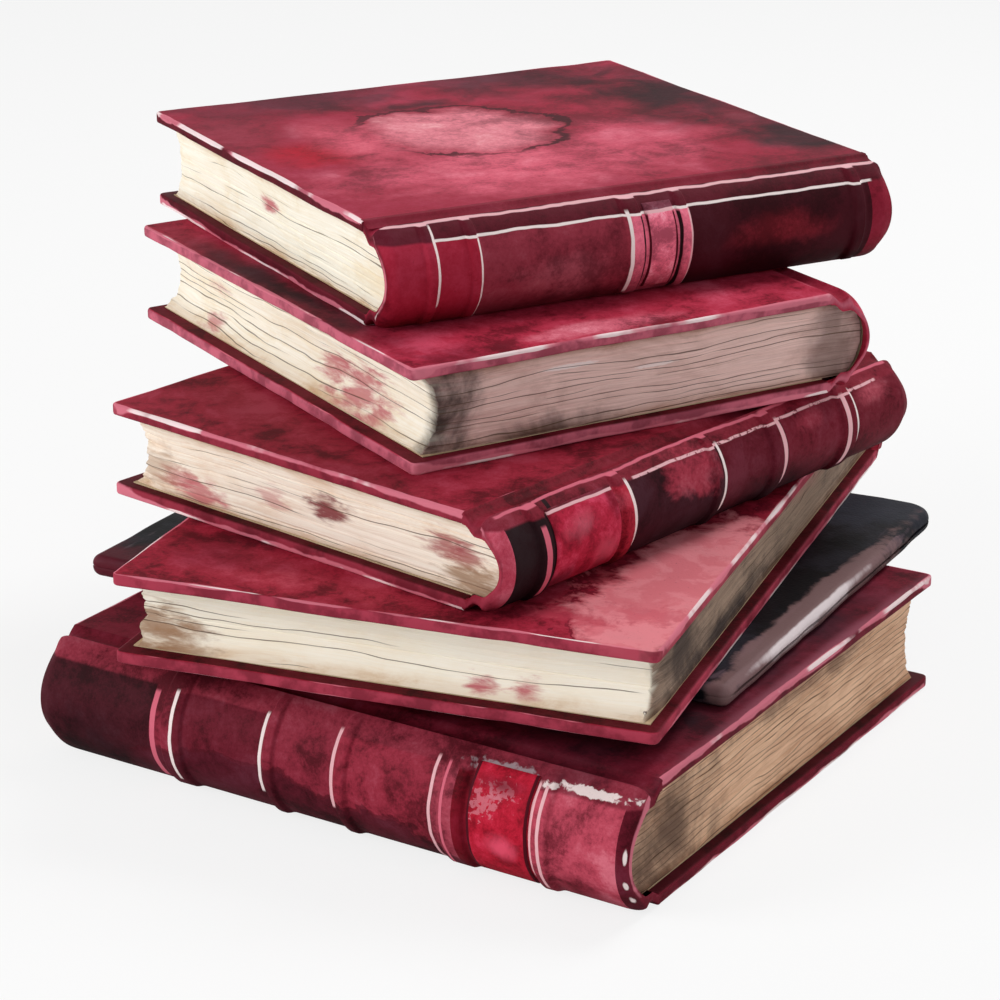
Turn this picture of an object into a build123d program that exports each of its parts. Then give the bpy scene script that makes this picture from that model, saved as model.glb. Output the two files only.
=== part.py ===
from build123d import *
from dataclasses import dataclass
from math import asin, cos, radians, sin
import os

os.makedirs("parts", exist_ok=True)

# A stack of six old leather-bound books, in millimetres.
# Z is up and the origin is the centre of the bottom book's footprint on the floor.
# X runs along the bottom book's spine, which faces -Y.

# Bottom book: height along the spine, width from shoulder to fore-edge, thickness
bottom_height = 245.2
bottom_width = 219.5
bottom_thickness = 45.8
bottom_x = 0.0
bottom_y = 0.0
bottom_turn = 0.0
bottom_bands = ((-62.0, 9.0), (-20.0, 4.5), (10.0, 5.0), (54.5, 10.0), (89.0, 6.0))
bottom_label_panel = 3

# Thin limp black book
limp_height = 263.8
limp_width = 202.9
limp_thickness = 8.4
limp_x = -23.2
limp_y = 48.4
limp_turn = 4.0

# Fourth book from the top, an oblong volume with its smooth spine at the back
fourth_height = 197.0
fourth_width = 305.4
fourth_thickness = 33.1
fourth_x = -9.3
fourth_y = 32.7
fourth_turn = 191.6
fourth_cords = (-60.0, -20.0, 20.0, 60.0)

# Third book from the top
third_height = 234.3
third_width = 180.9
third_thickness = 34.9
third_x = -17.0
third_y = 28.0
third_turn = 80.8
third_bands = ((-96.0, 7.0), (-53.0, 5.5), (-2.7, 4.5), (32.3, 7.0), (77.0, 9.0))
third_label_panel = 0

# Second book from the top, with its smooth spine at the back
second_height = 217.1
second_width = 182.6
second_thickness = 37.9
second_x = -42.6
second_y = 50.2
second_turn = 152.9
second_cords = (-66.0, -22.0, 22.0, 66.0)

# Top book, whose upper cover is free to open
top_height = 210.4
top_width = 200.0
top_thickness = 37.7
top_x = -56.9
top_y = 89.4
top_turn = 60.2
top_bands = ((-87.5, 4.5), (-70.7, 4.5), (-6.2, 7.5), (14.6, 4.5), (89.7, 5.0))
top_label_panel = 2

# Leather, boards and paper
leather_wall = 0.9
board_wall = 3.0
turn_in_wall = 0.4
turn_in_width = 13.0
flyleaf_wall = 0.4
board_edge_bevel = 0.9
board_corner_cut = 2.0

# Squares: how far the boards stand past the pages
head_square = 4.5
fore_square = 6.5
fore_edge_hollow = 7.0

# Spine and joint
spine_round = 0.3
joint_width = 8.0
joint_depth = 2.0
shoulder_drop = 0.5
lining_wall = 0.4
glue_line = 0.15
cap_wall = 1.3
cap_clearance = 0.3
hinge_clearance = 0.3

# Raised bands, the cords under them and title labels
band_rise = 1.2
band_sink = 0.4
band_bevel = 0.6
cord_width = 2.6
cord_wall = 0.4
cord_space = 0.65
cord_chords = 8
label_wall = 0.35
label_margin = 1.5
label_end_margin = 3.5

# Gatherings that show as fine grooves round the pages
gathering_pitch = 3.4
gathering_groove = 0.3
gathering_depth = 0.6
gathering_drift = 0.18
gathering_wander = 2.4

# Limp binding: soft leather with rolled edges that nearly close over the pages
limp_wall = 1.2
limp_roll = 3.4
limp_under_bevel = 1.6
limp_square = 5.0
limp_spine_inset = 2.6
limp_lip_gap = 1.4
limp_fore_corner = 12.0
limp_spine_corner = 4.0


@dataclass(frozen=True)
class Place:
    """Where a book lies: centre, turn about Z and the level of its lower face."""

    x: float
    y: float
    turn: float
    level: float

    def plan(self, height=0.0):
        """Level plane, x along the spine and y from the spine to the fore-edge."""
        along = (cos(radians(self.turn)), sin(radians(self.turn)), 0)
        return Plane((self.x, self.y, self.level + height), x_dir=along, z_dir=(0, 0, 1))

    def section(self, station=0.0):
        """Upright plane across the spine: x to the fore-edge and y up."""
        base = self.plan()
        origin = base.from_local_coords((station, 0, 0))
        return Plane(origin, x_dir=base.y_dir, z_dir=base.x_dir)


@dataclass(frozen=True)
class Hardback:
    """Outer sizes of a leather-covered book and the points they lead to."""

    name: str
    height: float
    width: float
    thickness: float
    bands: tuple
    cords: tuple
    place: Place

    @property
    def spine_edge(self):
        return -self.width / 2

    @property
    def joint_edge(self):
        return self.spine_edge + joint_width

    @property
    def middle(self):
        return self.thickness / 2

    @property
    def spine_bulge(self):
        return spine_round * self.thickness

    @property
    def shoulder_rise(self):
        return self.middle - shoulder_drop

    @property
    def spine_radius(self):
        return (self.shoulder_rise**2 + self.spine_bulge**2) / (2 * self.spine_bulge)

    @property
    def spine_centre(self):
        return self.spine_edge - self.spine_bulge + self.spine_radius

    @property
    def cover_wall(self):
        return leather_wall + board_wall + turn_in_wall

    @property
    def page_height(self):
        return self.height - 2 * head_square

    @property
    def page_edge(self):
        return self.width / 2 - fore_square

    @property
    def lining_radius(self):
        return self.spine_radius - leather_wall

    @property
    def page_radius(self):
        return self.lining_radius - lining_wall - cord_space - 2 * glue_line

    @property
    def inner_rise(self):
        """Half the height of the rounded page spine between its shoulders."""
        return self.middle - joint_depth - leather_wall - hinge_clearance

    def on_arc(self, radius, rise):
        """Point of an arc round the spine centre, `rise` above the book's mid height."""
        return (self.spine_centre - (radius**2 - rise**2) ** 0.5, self.middle + rise)

    def crest(self, radius):
        return (self.spine_centre - radius, self.middle)


def cords_under(bands):
    return tuple(station for station, width in bands)


limp_level = bottom_thickness
fourth_level = limp_level + limp_thickness
third_level = fourth_level + fourth_thickness
second_level = third_level + third_thickness
top_level = second_level + second_thickness

bottom = Hardback(
    "bottom_book", bottom_height, bottom_width, bottom_thickness, bottom_bands, cords_under(bottom_bands),
    Place(bottom_x, bottom_y, bottom_turn, 0.0),
)
fourth = Hardback(
    "fourth_book", fourth_height, fourth_width, fourth_thickness, (), fourth_cords,
    Place(fourth_x, fourth_y, fourth_turn, fourth_level),
)
third = Hardback(
    "third_book", third_height, third_width, third_thickness, third_bands, cords_under(third_bands),
    Place(third_x, third_y, third_turn, third_level),
)
second = Hardback(
    "second_book", second_height, second_width, second_thickness, (), second_cords,
    Place(second_x, second_y, second_turn, second_level),
)
top = Hardback(
    "top_book", top_height, top_width, top_thickness, top_bands, cords_under(top_bands),
    Place(top_x, top_y, top_turn, top_level),
)


def write(part, node):
    part.label = node
    export_step(part, f"parts/{node}.step")


def layer_level(book, upper, depth, wall):
    """Level of a layer of thickness `wall` that lies `depth` inside a cover's outer face."""
    if upper:
        return book.thickness - depth - wall
    return depth


def toward_fore_edge(book):
    base = book.place.plan()
    return Axis(base.origin, base.y_dir)


# Boards: stiff sheets inside the leather, ending at the joint
def make_board(book, upper):
    level = layer_level(book, upper, leather_wall, board_wall)
    fore_limit = book.width / 2 - leather_wall
    with BuildPart() as board:
        with BuildSketch(book.place.plan(level)):
            with Locations((0, (book.joint_edge + fore_limit) / 2)):
                Rectangle(book.height - 2 * leather_wall, fore_limit - book.joint_edge)
        extrude(amount=board_wall)
        uprights = board.edges().filter_by(Axis.Z).group_by(toward_fore_edge(book))[-1]
        chamfer(uprights, board_corner_cut)
    return board.part


# Pastedown: the half of an endpaper that lines the board between the turn-ins
def make_pastedown(book, upper):
    level = layer_level(book, upper, leather_wall + board_wall, turn_in_wall)
    fore_limit = book.width / 2 - turn_in_width
    with BuildPart() as pastedown:
        with BuildSketch(book.place.plan(level)):
            with Locations((0, (book.joint_edge + fore_limit) / 2)):
                Rectangle(book.height - 2 * turn_in_width, fore_limit - book.joint_edge)
        extrude(amount=turn_in_wall)
    return pastedown.part


# Flyleaf: the free half of an endpaper, lying on the pages
def make_flyleaf(book, upper):
    level = layer_level(book, upper, book.cover_wall, flyleaf_wall)
    with BuildPart() as flyleaf:
        with BuildSketch(book.place.plan(level)):
            with Locations((0, (book.joint_edge + book.page_edge) / 2)):
                Rectangle(book.page_height, book.page_edge - book.joint_edge)
        extrude(amount=flyleaf_wall)
    return flyleaf.part


def make_endpaper(book, upper):
    with BuildPart() as endpaper:
        add(make_pastedown(book, upper))
        add(make_flyleaf(book, upper))
    return endpaper.part


# Leather wrapped round one board: outer sheet, covered edges and turn-ins
def make_board_wrap(book, upper):
    level = layer_level(book, upper, 0.0, book.cover_wall)
    along_fore = toward_fore_edge(book)
    with BuildPart() as wrap:
        with BuildSketch(book.place.plan(level)):
            with Locations((0, (book.joint_edge + book.width / 2) / 2)):
                Rectangle(book.height, book.width / 2 - book.joint_edge)
        extrude(amount=book.cover_wall)
        uprights = wrap.edges().filter_by(Axis.Z).group_by(along_fore)[-1]
        chamfer(uprights, board_corner_cut + leather_wall)
        rims = wrap.faces().filter_by(Axis.Z).edges()
        chamfer(rims.sort_by(along_fore)[2:], board_edge_bevel)
        add(make_board(book, upper), mode=Mode.SUBTRACT)
        add(make_pastedown(book, upper), mode=Mode.SUBTRACT)
    return wrap.part


def arc_band(book, inner_radius, outer_radius, rise):
    """Sketch between two arcs round the spine centre, cut level at `rise` above and below."""
    outer_low = book.on_arc(outer_radius, -rise)
    outer_high = book.on_arc(outer_radius, rise)
    inner_low = book.on_arc(inner_radius, -rise)
    inner_high = book.on_arc(inner_radius, rise)
    with BuildSketch() as band:
        with BuildLine():
            ThreePointArc(outer_low, book.crest(outer_radius), outer_high)
            Line(outer_high, inner_high)
            ThreePointArc(inner_high, book.crest(inner_radius), inner_low)
            Line(inner_low, outer_low)
        make_face()
    return band.sketch


# Joint and spine leather: a thin wall from one board edge round to the other,
# turned in at head and tail
def make_spine_leather(book, upper_gap):
    top_face = book.thickness
    mid_joint = book.spine_edge + joint_width / 2
    joint_floor = joint_depth + leather_wall
    rise = book.shoulder_rise
    leather_rise = rise - leather_wall
    high = book.on_arc(book.spine_radius, rise)
    low = book.on_arc(book.spine_radius, -rise)
    inner_high = book.on_arc(book.lining_radius, leather_rise)
    inner_low = book.on_arc(book.lining_radius, -leather_rise)
    end_high = (book.joint_edge - upper_gap, top_face - upper_gap)
    end_high_inner = (book.joint_edge - upper_gap, top_face - upper_gap - leather_wall)
    end_low = (book.joint_edge, 0)
    end_low_inner = (book.joint_edge, leather_wall)
    cap_depth = head_square - cap_clearance
    with BuildPart() as spine:
        with BuildSketch(book.place.section(-book.height / 2)):
            with BuildLine():
                ThreePointArc(end_high, (mid_joint, top_face - joint_depth), high)
                ThreePointArc(high, book.crest(book.spine_radius), low)
                ThreePointArc(low, (mid_joint, joint_depth), end_low)
                Line(end_low, end_low_inner)
                ThreePointArc(end_low_inner, (mid_joint, joint_floor), inner_low)
                ThreePointArc(inner_low, book.crest(book.lining_radius), inner_high)
                ThreePointArc(inner_high, (mid_joint, top_face - joint_floor), end_high_inner)
                Line(end_high_inner, end_high)
            make_face()
        extrude(amount=book.height)
        for station in (-book.height / 2, book.height / 2 - cap_depth):
            with BuildSketch(book.place.section(station)):
                cap_radius = book.lining_radius - cap_wall
                add(arc_band(book, cap_radius, book.lining_radius, leather_rise - cap_wall))
            extrude(amount=cap_depth)
    return spine.part


# Raised band: a rib round the whole spine, with both its edges bevelled
def make_raised_band(book, station, width):
    foot = book.spine_radius - band_sink
    crest = book.spine_radius + band_rise
    with BuildPart() as band:
        with BuildSketch(book.place.section(station - width / 2)):
            add(arc_band(book, foot, crest, book.shoulder_rise))
        extrude(amount=width)
        chamfer(band.edges().filter_by(GeomType.CIRCLE).sort_by(SortBy.RADIUS)[-2:], band_bevel)
    return band.part


# Cords that the gatherings are sewn to, bent round the page spine in short chords
def make_cords(book):
    inner_radius = book.lining_radius - lining_wall - 2 * glue_line - cord_wall
    sweep = asin(book.inner_rise / inner_radius)
    turns = [sweep * (2 * number / cord_chords - 1) for number in range(cord_chords + 1)]
    rises = [inner_radius * sin(turn) for turn in turns]
    inner = [book.on_arc(inner_radius, rise) for rise in rises]
    outer = [book.on_arc(inner_radius + cord_wall, rise) for rise in reversed(rises)]
    with BuildPart() as cords:
        for station in book.cords:
            with BuildSketch(book.place.section(station - cord_width / 2)):
                with BuildLine():
                    Polyline(*inner, *outer, close=True)
                make_face()
            extrude(amount=cord_width)
    return cords.part


# Spine lining: cloth and paper stretched over the cords, under the leather
def make_lining(book):
    outer_radius = book.lining_radius - glue_line
    with BuildPart() as lining:
        with BuildSketch(book.place.section(-book.page_height / 2)):
            add(arc_band(book, outer_radius - lining_wall, outer_radius, book.inner_rise))
        extrude(amount=book.page_height)
    return lining.part


# Leather cover in one piece, with its raised bands
def make_cover(book, with_upper=True):
    with BuildPart() as cover:
        add(make_spine_leather(book, 0.0 if with_upper else hinge_clearance))
        add(make_board_wrap(book, upper=False))
        if with_upper:
            add(make_board_wrap(book, upper=True))
        for station, width in book.bands:
            add(make_raised_band(book, station, width))
    return cover.part


# Title label: a thin leather panel pasted between two raised bands, left bare
def make_title_label(book, panel):
    first_station, first_width = book.bands[panel]
    next_station, next_width = book.bands[panel + 1]
    start = first_station + first_width / 2 + label_margin
    end = next_station - next_width / 2 - label_margin
    with BuildPart() as label:
        with BuildSketch(book.place.section(start)):
            inner_radius = book.spine_radius + glue_line
            add(arc_band(book, inner_radius, inner_radius + label_wall, book.middle - label_end_margin))
        extrude(amount=end - start)
    return label.part


# Pages: one block with a rounded and shouldered spine, a hollow fore-edge
# and fine grooves where one gathering meets the next
def make_pages(book):
    leaf_face = book.cover_wall + flyleaf_wall
    half_leaves = book.middle - leaf_face
    mid_joint = book.spine_edge + joint_width / 2
    shoulder = book.inner_rise
    spine_high = book.on_arc(book.page_radius, shoulder)
    spine_low = book.on_arc(book.page_radius, -shoulder)
    fore_high = (book.page_edge, book.middle + half_leaves)
    fore_low = (book.page_edge, book.middle - half_leaves)
    fore_hollow = (book.page_edge - fore_edge_hollow, book.middle)
    fore_radius = (half_leaves**2 + fore_edge_hollow**2) / (2 * fore_edge_hollow)
    with BuildPart() as pages:
        with BuildSketch(book.place.section(-book.page_height / 2)):
            with BuildLine():
                ThreePointArc(fore_low, fore_hollow, fore_high)
                Polyline(
                    fore_high,
                    (book.joint_edge, book.middle + half_leaves),
                    (mid_joint, book.middle + shoulder),
                    spine_high,
                )
                ThreePointArc(spine_high, book.crest(book.page_radius), spine_low)
                Polyline(
                    spine_low,
                    (mid_joint, book.middle - shoulder),
                    (book.joint_edge, book.middle - half_leaves),
                    fore_low,
                )
            make_face()
        extrude(amount=book.page_height)
        for rise in gathering_rises(half_leaves):
            hollow_here = fore_radius - (fore_radius**2 - rise**2) ** 0.5
            floor = book.page_edge - fore_edge_hollow + hollow_here - gathering_depth
            level = book.middle + rise - gathering_groove / 2
            with BuildSketch(book.place.plan(level)):
                with Locations((0, (mid_joint + book.width / 2) / 2)):
                    Rectangle(book.height, book.width / 2 - mid_joint)
                with Locations((0, (book.spine_edge + floor) / 2)):
                    inner_height = book.page_height - 2 * gathering_depth
                    Rectangle(inner_height, floor - book.spine_edge, mode=Mode.SUBTRACT)
            extrude(amount=gathering_groove, mode=Mode.SUBTRACT)
    return pages.part


def gathering_rises(half_leaves):
    """Heights of the grooves above the block's middle, spaced a little unevenly."""
    count = int(2 * half_leaves / gathering_pitch)
    pitch = 2 * half_leaves / count
    rises = []
    for number in range(1, count):
        drift = gathering_drift * sin(gathering_wander * number)
        rises.append(-half_leaves + (number + drift) * pitch)
    return rises


# The five hardbacks, piece by piece
for book in (bottom, fourth, third, second, top):
    opens = book is top
    write(make_pages(book), f"{book.name}_text_block")
    write(make_board(book, upper=False), f"{book.name}_lower_board")
    write(make_board(book, upper=True), f"{book.name}_upper_board")
    write(make_endpaper(book, upper=False), f"{book.name}_lower_endpaper")
    write(make_lining(book), f"{book.name}_spine_lining")
    write(make_cords(book), f"{book.name}_sewing_cords")
    write(make_cover(book, with_upper=not opens), f"{book.name}_leather_cover")
    if opens:
        write(make_board_wrap(book, upper=True), f"{book.name}_upper_cover_leather")
        write(make_pastedown(book, upper=True), f"{book.name}_upper_pastedown")
        write(make_flyleaf(book, upper=True), f"{book.name}_upper_flyleaf")
    else:
        write(make_endpaper(book, upper=True), f"{book.name}_upper_endpaper")

for book, panel in ((bottom, bottom_label_panel), (third, third_label_panel), (top, top_label_panel)):
    write(make_title_label(book, panel), f"{book.name}_title_label")

# The thin limp book: a soft cover with rolled edges round its pages
limp_place = Place(limp_x, limp_y, limp_turn, limp_level)
limp_plan = limp_place.plan()
limp_page_height = limp_height - 2 * limp_square
limp_page_start = -limp_width / 2 + limp_spine_inset
limp_page_end = limp_width / 2 - limp_square
limp_page_wall = limp_thickness - 2 * limp_wall

with BuildPart() as limp_pages:
    with BuildSketch(limp_place.plan(limp_wall)):
        with Locations((0, (limp_page_start + limp_page_end) / 2)):
            Rectangle(limp_page_height, limp_page_end - limp_page_start)
    extrude(amount=limp_page_wall)
write(limp_pages.part, "limp_book_text_block")

with BuildPart() as limp_cover:
    with BuildSketch(limp_place.plan()):
        Rectangle(limp_height, limp_width)
    extrude(amount=limp_thickness)
    corners = limp_cover.edges().filter_by(Axis.Z).group_by(Axis(limp_plan.origin, limp_plan.y_dir))
    fillet(corners[-1], limp_fore_corner)
    fillet(corners[0], limp_spine_corner)
    fillet(limp_cover.faces().sort_by(Axis.Z)[-1].edges(), limp_roll)
    chamfer(limp_cover.faces().sort_by(Axis.Z)[0].edges(), limp_under_bevel)
    with BuildSketch(limp_place.plan((limp_thickness - limp_lip_gap) / 2)):
        with Locations((0, (limp_page_start + limp_width) / 2)):
            Rectangle(2 * limp_height, limp_width - limp_page_start)
    extrude(amount=limp_lip_gap, mode=Mode.SUBTRACT)
    add(limp_pages.part, mode=Mode.SUBTRACT)
write(limp_cover.part, "limp_book_leather_cover")
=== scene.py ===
import logging
from collections.abc import Callable, Sequence
from dataclasses import dataclass, field
from enum import Enum
from math import cos, hypot, pi, radians, sin, sqrt

import bmesh
import bpy
from mathutils import Matrix, Vector, noise


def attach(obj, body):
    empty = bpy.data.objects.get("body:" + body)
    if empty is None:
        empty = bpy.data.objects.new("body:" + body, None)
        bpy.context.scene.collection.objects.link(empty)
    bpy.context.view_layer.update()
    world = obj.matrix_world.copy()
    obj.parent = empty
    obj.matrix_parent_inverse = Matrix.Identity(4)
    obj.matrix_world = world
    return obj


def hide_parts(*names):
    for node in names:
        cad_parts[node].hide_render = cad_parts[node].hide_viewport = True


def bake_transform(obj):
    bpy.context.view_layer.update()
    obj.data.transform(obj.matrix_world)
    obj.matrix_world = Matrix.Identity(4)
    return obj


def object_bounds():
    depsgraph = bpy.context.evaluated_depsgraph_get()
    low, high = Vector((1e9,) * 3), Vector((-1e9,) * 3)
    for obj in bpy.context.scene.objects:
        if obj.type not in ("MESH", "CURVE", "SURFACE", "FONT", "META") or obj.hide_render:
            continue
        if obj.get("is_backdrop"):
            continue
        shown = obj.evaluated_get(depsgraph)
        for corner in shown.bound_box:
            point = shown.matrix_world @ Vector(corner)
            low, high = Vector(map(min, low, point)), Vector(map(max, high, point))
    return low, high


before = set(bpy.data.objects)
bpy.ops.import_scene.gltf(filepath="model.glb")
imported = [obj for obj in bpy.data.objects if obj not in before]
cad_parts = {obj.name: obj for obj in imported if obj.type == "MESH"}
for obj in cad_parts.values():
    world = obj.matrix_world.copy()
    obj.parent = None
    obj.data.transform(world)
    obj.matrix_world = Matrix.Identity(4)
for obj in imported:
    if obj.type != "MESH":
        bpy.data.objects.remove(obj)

log = logging.getLogger("book_stack")

Colour = tuple[float, float, float, float]
Socket = bpy.types.NodeSocket
Triple = tuple[float, float, float]
Spot = tuple[Vector, tuple[float, float, float, float]]

MM = 0.001
ORIGIN = (0.0, 0.0, 0.0)
WHITE = (1.0, 1.0, 1.0, 1.0)


def paint(red: int, green: int, blue: int) -> Colour:
    """Turn a colour, 0 to 255, into a scene-linear colour.

    Args:
        red: Red part.
        green: Green part.
        blue: Blue part.

    Returns:
        The linear colour with an alpha of one.
    """
    parts = [value / 255 for value in (red, green, blue)]
    linear = [p / 12.92 if p <= 0.04045 else ((p + 0.055) / 1.055) ** 2.4 for p in parts]
    return (linear[0], linear[1], linear[2], 1.0)


def ease(value: float) -> float:
    """Ease a value smoothly from 0 to 1 between 0 and 1."""
    value = min(max(value, 0.0), 1.0)
    return value * value * (3 - 2 * value)


def bend(radius: float, depth: float) -> float:
    """How far a rounding of some radius stands in at a depth from its tip."""
    return radius - sqrt(max(0.0, radius**2 - max(0.0, radius - depth) ** 2))


def waver(along: float, across: float, seed: float, scale: float) -> float:
    """Smooth uneven value between about -1 and 1 at a place in millimetres."""
    return noise.noise(Vector((along / scale, across / scale, seed)))


# ---------------------------------------------------------------- shading

SHADOW_TINT = paint(110, 70, 84)
# Pale tone of bare rubbed leather and of painted highlights on the crests of the rims
BARE_AND_HIGHLIGHT_TONE = paint(250, 232, 232)
LEATHER_SHINE = 0.06
PAPER_SHINE = 0.2
GRAIN_SIZE = 0.9
# Strength of a bump, and its depth in metres
LEATHER_RELIEF = (0.28, 0.00035)
LIMP_RELIEF = (0.3, 0.0004)
PAPER_RELIEF = (0.5, 0.0004)
FIBRE_RELIEF = (0.4, 0.0002)


class Shading:
    """Places and links the nodes of one node tree."""

    def __init__(self, tree: bpy.types.NodeTree) -> None:
        """Work on the tree of a material, a group or the world."""
        self.tree = tree

    def add(self, kind: str, inputs: dict | None = None, **settings: object) -> bpy.types.Node:
        """Add a node, set it and feed its inputs.

        Args:
            kind: Node type.
            inputs: Values or sockets by input name or number.
            settings: Node properties.

        Returns:
            The new node.
        """
        node = self.tree.nodes.new(kind)
        for name, value in settings.items():
            setattr(node, name, value)
        for key, value in (inputs or {}).items():
            self.feed(node.inputs[key], value)
        return node

    def feed(self, socket: Socket, value: object) -> None:
        """Link a socket to another, or set its own value."""
        if isinstance(value, Socket):
            self.tree.links.new(value, socket)
        else:
            socket.default_value = value

    def math(self, operation: str, first: object, second: object = 0.0, third: object = 0.0,
             clamp: bool = False) -> Socket:
        """Do one sum.

        Args:
            operation: The Math node's operation.
            first: First value or socket.
            second: Second value or socket.
            third: Third value or socket.
            clamp: Whether the result stays between 0 and 1.

        Returns:
            The result's socket.
        """
        inputs = {0: first, 1: second, 2: third}
        return self.add("ShaderNodeMath", inputs, operation=operation, use_clamp=clamp).outputs[0]

    def times(self, first: object, second: object) -> Socket:
        """Multiply two values."""
        return self.math("MULTIPLY", first, second)

    def plus(self, first: object, second: object, clamp: bool = False) -> Socket:
        """Add two values."""
        return self.math("ADD", first, second, clamp=clamp)

    def minus(self, first: object, second: object) -> Socket:
        """Take the second value from the first."""
        return self.math("SUBTRACT", first, second)

    def times_plus(self, first: object, second: object, third: object) -> Socket:
        """Multiply two values and add a third."""
        return self.math("MULTIPLY_ADD", first, second, third)

    def centred(self, value: object) -> Socket:
        """Move a noise value, 0 to 1, to lie round 0."""
        return self.minus(value, 0.5)

    def vector(self, operation: str, first: object, second: object) -> Socket:
        """Do one sum with two vectors."""
        return self.add("ShaderNodeVectorMath", {0: first, 1: second}, operation=operation).outputs[0]

    def join(self, x: object, y: object, z: object) -> Socket:
        """Join three values into a vector."""
        return self.add("ShaderNodeCombineXYZ", {0: x, 1: y, 2: z}).outputs[0]

    def sized(self, vector: object, size: object) -> Socket:
        """Divide coordinates by the size that a pattern is to have."""
        inputs = {0: vector, "Scale": self.math("DIVIDE", 1.0, size)}
        return self.add("ShaderNodeVectorMath", inputs, operation="SCALE").outputs[0]

    def mix(self, share: object, first: object, second: object, blend: str = "MIX") -> Socket:
        """Mix two colours.

        Args:
            share: How much of the second colour shows.
            first: First colour or socket.
            second: Second colour or socket.
            blend: How the two are mixed.

        Returns:
            The mixed colour's socket.
        """
        node = self.add("ShaderNodeMix", {0: share, 6: first, 7: second}, data_type="RGBA", blend_type=blend)
        return node.outputs[2]

    def rise(self, value: object, low: float, high: float) -> Socket:
        """Ease from 0 at a low value to 1 at a high one.

        Args:
            value: Socket that is read.
            low: Value that gives 0.
            high: Value that gives 1.

        Returns:
            The eased value's socket.
        """
        inputs = {"Value": value, "From Min": low, "From Max": high}
        return self.add("ShaderNodeMapRange", inputs, interpolation_type="SMOOTHSTEP").outputs[0]

    def cloud(self, vector: object, scale: float, detail: float = 4.0, roughness: float = 0.6,
              drift: float = 0.0) -> Socket:
        """Read a cloudy noise.

        Args:
            vector: Coordinates.
            scale: Size of the pattern, larger is finer.
            detail: Number of finer layers.
            roughness: Strength of the finer layers.
            drift: How far the pattern is pulled about.

        Returns:
            The noise value's socket.
        """
        inputs = {"Vector": vector, "Scale": scale, "Detail": detail, "Roughness": roughness, "Distortion": drift}
        return self.add("ShaderNodeTexNoise", inputs).outputs[0]

    def held_ramp(self, value: object, stops: Sequence[tuple[float, Colour]]) -> Socket:
        """Read a colour off a ramp that holds each colour up to the next stop.

        Args:
            value: Where on the ramp to read.
            stops: Position and colour of each stop.

        Returns:
            The colour's socket.
        """
        node = self.add("ShaderNodeValToRGB", {0: value})
        node.color_ramp.interpolation = "CONSTANT"
        elements = node.color_ramp.elements
        while len(elements) < len(stops):
            elements.new(0.5)
        for element, (position, colour) in zip(elements, stops):
            element.position = position
            element.color = colour
        return node.outputs[0]

    def place(self, group: bpy.types.NodeTree, inputs: dict) -> bpy.types.NodeOutputs:
        """Place a shared effect with this material's own values.

        Args:
            group: The effect's node group.
            inputs: Values or sockets by input name.

        Returns:
            The effect's outputs.
        """
        node = self.tree.nodes.new("ShaderNodeGroup")
        node.node_tree = group
        for key, value in inputs.items():
            self.feed(node.inputs[key], value)
        return node.outputs

    def attribute(self, name: str, output: str) -> Socket:
        """Read an attribute of the mesh."""
        return self.add("ShaderNodeAttribute", attribute_name=name, attribute_type="GEOMETRY").outputs[output]

    def dress(self, surface: bpy.types.Node, colour: object, roughness: object, height: object,
              relief: tuple[float, float], shine: float) -> None:
        """Feed a Principled surface, with its fine relief as a bump.

        Args:
            surface: The surface's node.
            colour: Its colour.
            roughness: Its roughness.
            height: Height of its relief.
            relief: Strength and depth of the bump.
            shine: How strongly it mirrors.
        """
        bump = self.add("ShaderNodeBump", {"Strength": relief[0], "Distance": relief[1], "Height": height})
        self.feed(surface.inputs["Base Color"], colour)
        self.feed(surface.inputs["Roughness"], roughness)
        self.feed(surface.inputs["Normal"], bump.outputs[0])
        self.feed(surface.inputs["Specular IOR Level"], shine)


def new_material(name: str) -> tuple[bpy.types.Material, Shading, bpy.types.Node]:
    """Start a material with one Principled surface.

    Args:
        name: The material's name.

    Returns:
        The material, its shading helper and its surface node.
    """
    made = bpy.data.materials.new(name)
    made.use_nodes = True
    made.node_tree.nodes.clear()
    shade = Shading(made.node_tree)
    surface = shade.add("ShaderNodeBsdfPrincipled")
    shade.add("ShaderNodeOutputMaterial", {"Surface": surface.outputs[0]})
    return made, shade, surface


def new_effect(name: str, inputs: dict[str, object],
               outputs: Sequence[str]) -> tuple[Shading, dict, bpy.types.NodeInputs]:
    """Start a shared shader node group that reads coordinates.

    Args:
        name: The group's name.
        inputs: Further input names with their default values, a tuple for a vector.
        outputs: Output names, all plain values.

    Returns:
        The group's shading helper, its input sockets by name, and its output sockets.
    """
    tree = bpy.data.node_groups.new(name, "ShaderNodeTree")
    for label, default in {"Vector": ORIGIN, **inputs}.items():
        kind = "NodeSocketVector" if isinstance(default, tuple) else "NodeSocketFloat"
        tree.interface.new_socket(name=label, in_out="INPUT", socket_type=kind).default_value = default
    for label in outputs:
        tree.interface.new_socket(name=label, in_out="OUTPUT", socket_type="NodeSocketFloat")
    entry = tree.nodes.new("NodeGroupInput")
    leave = tree.nodes.new("NodeGroupOutput")
    return Shading(tree), {socket.name: socket for socket in entry.outputs if socket.name}, leave.inputs


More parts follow.
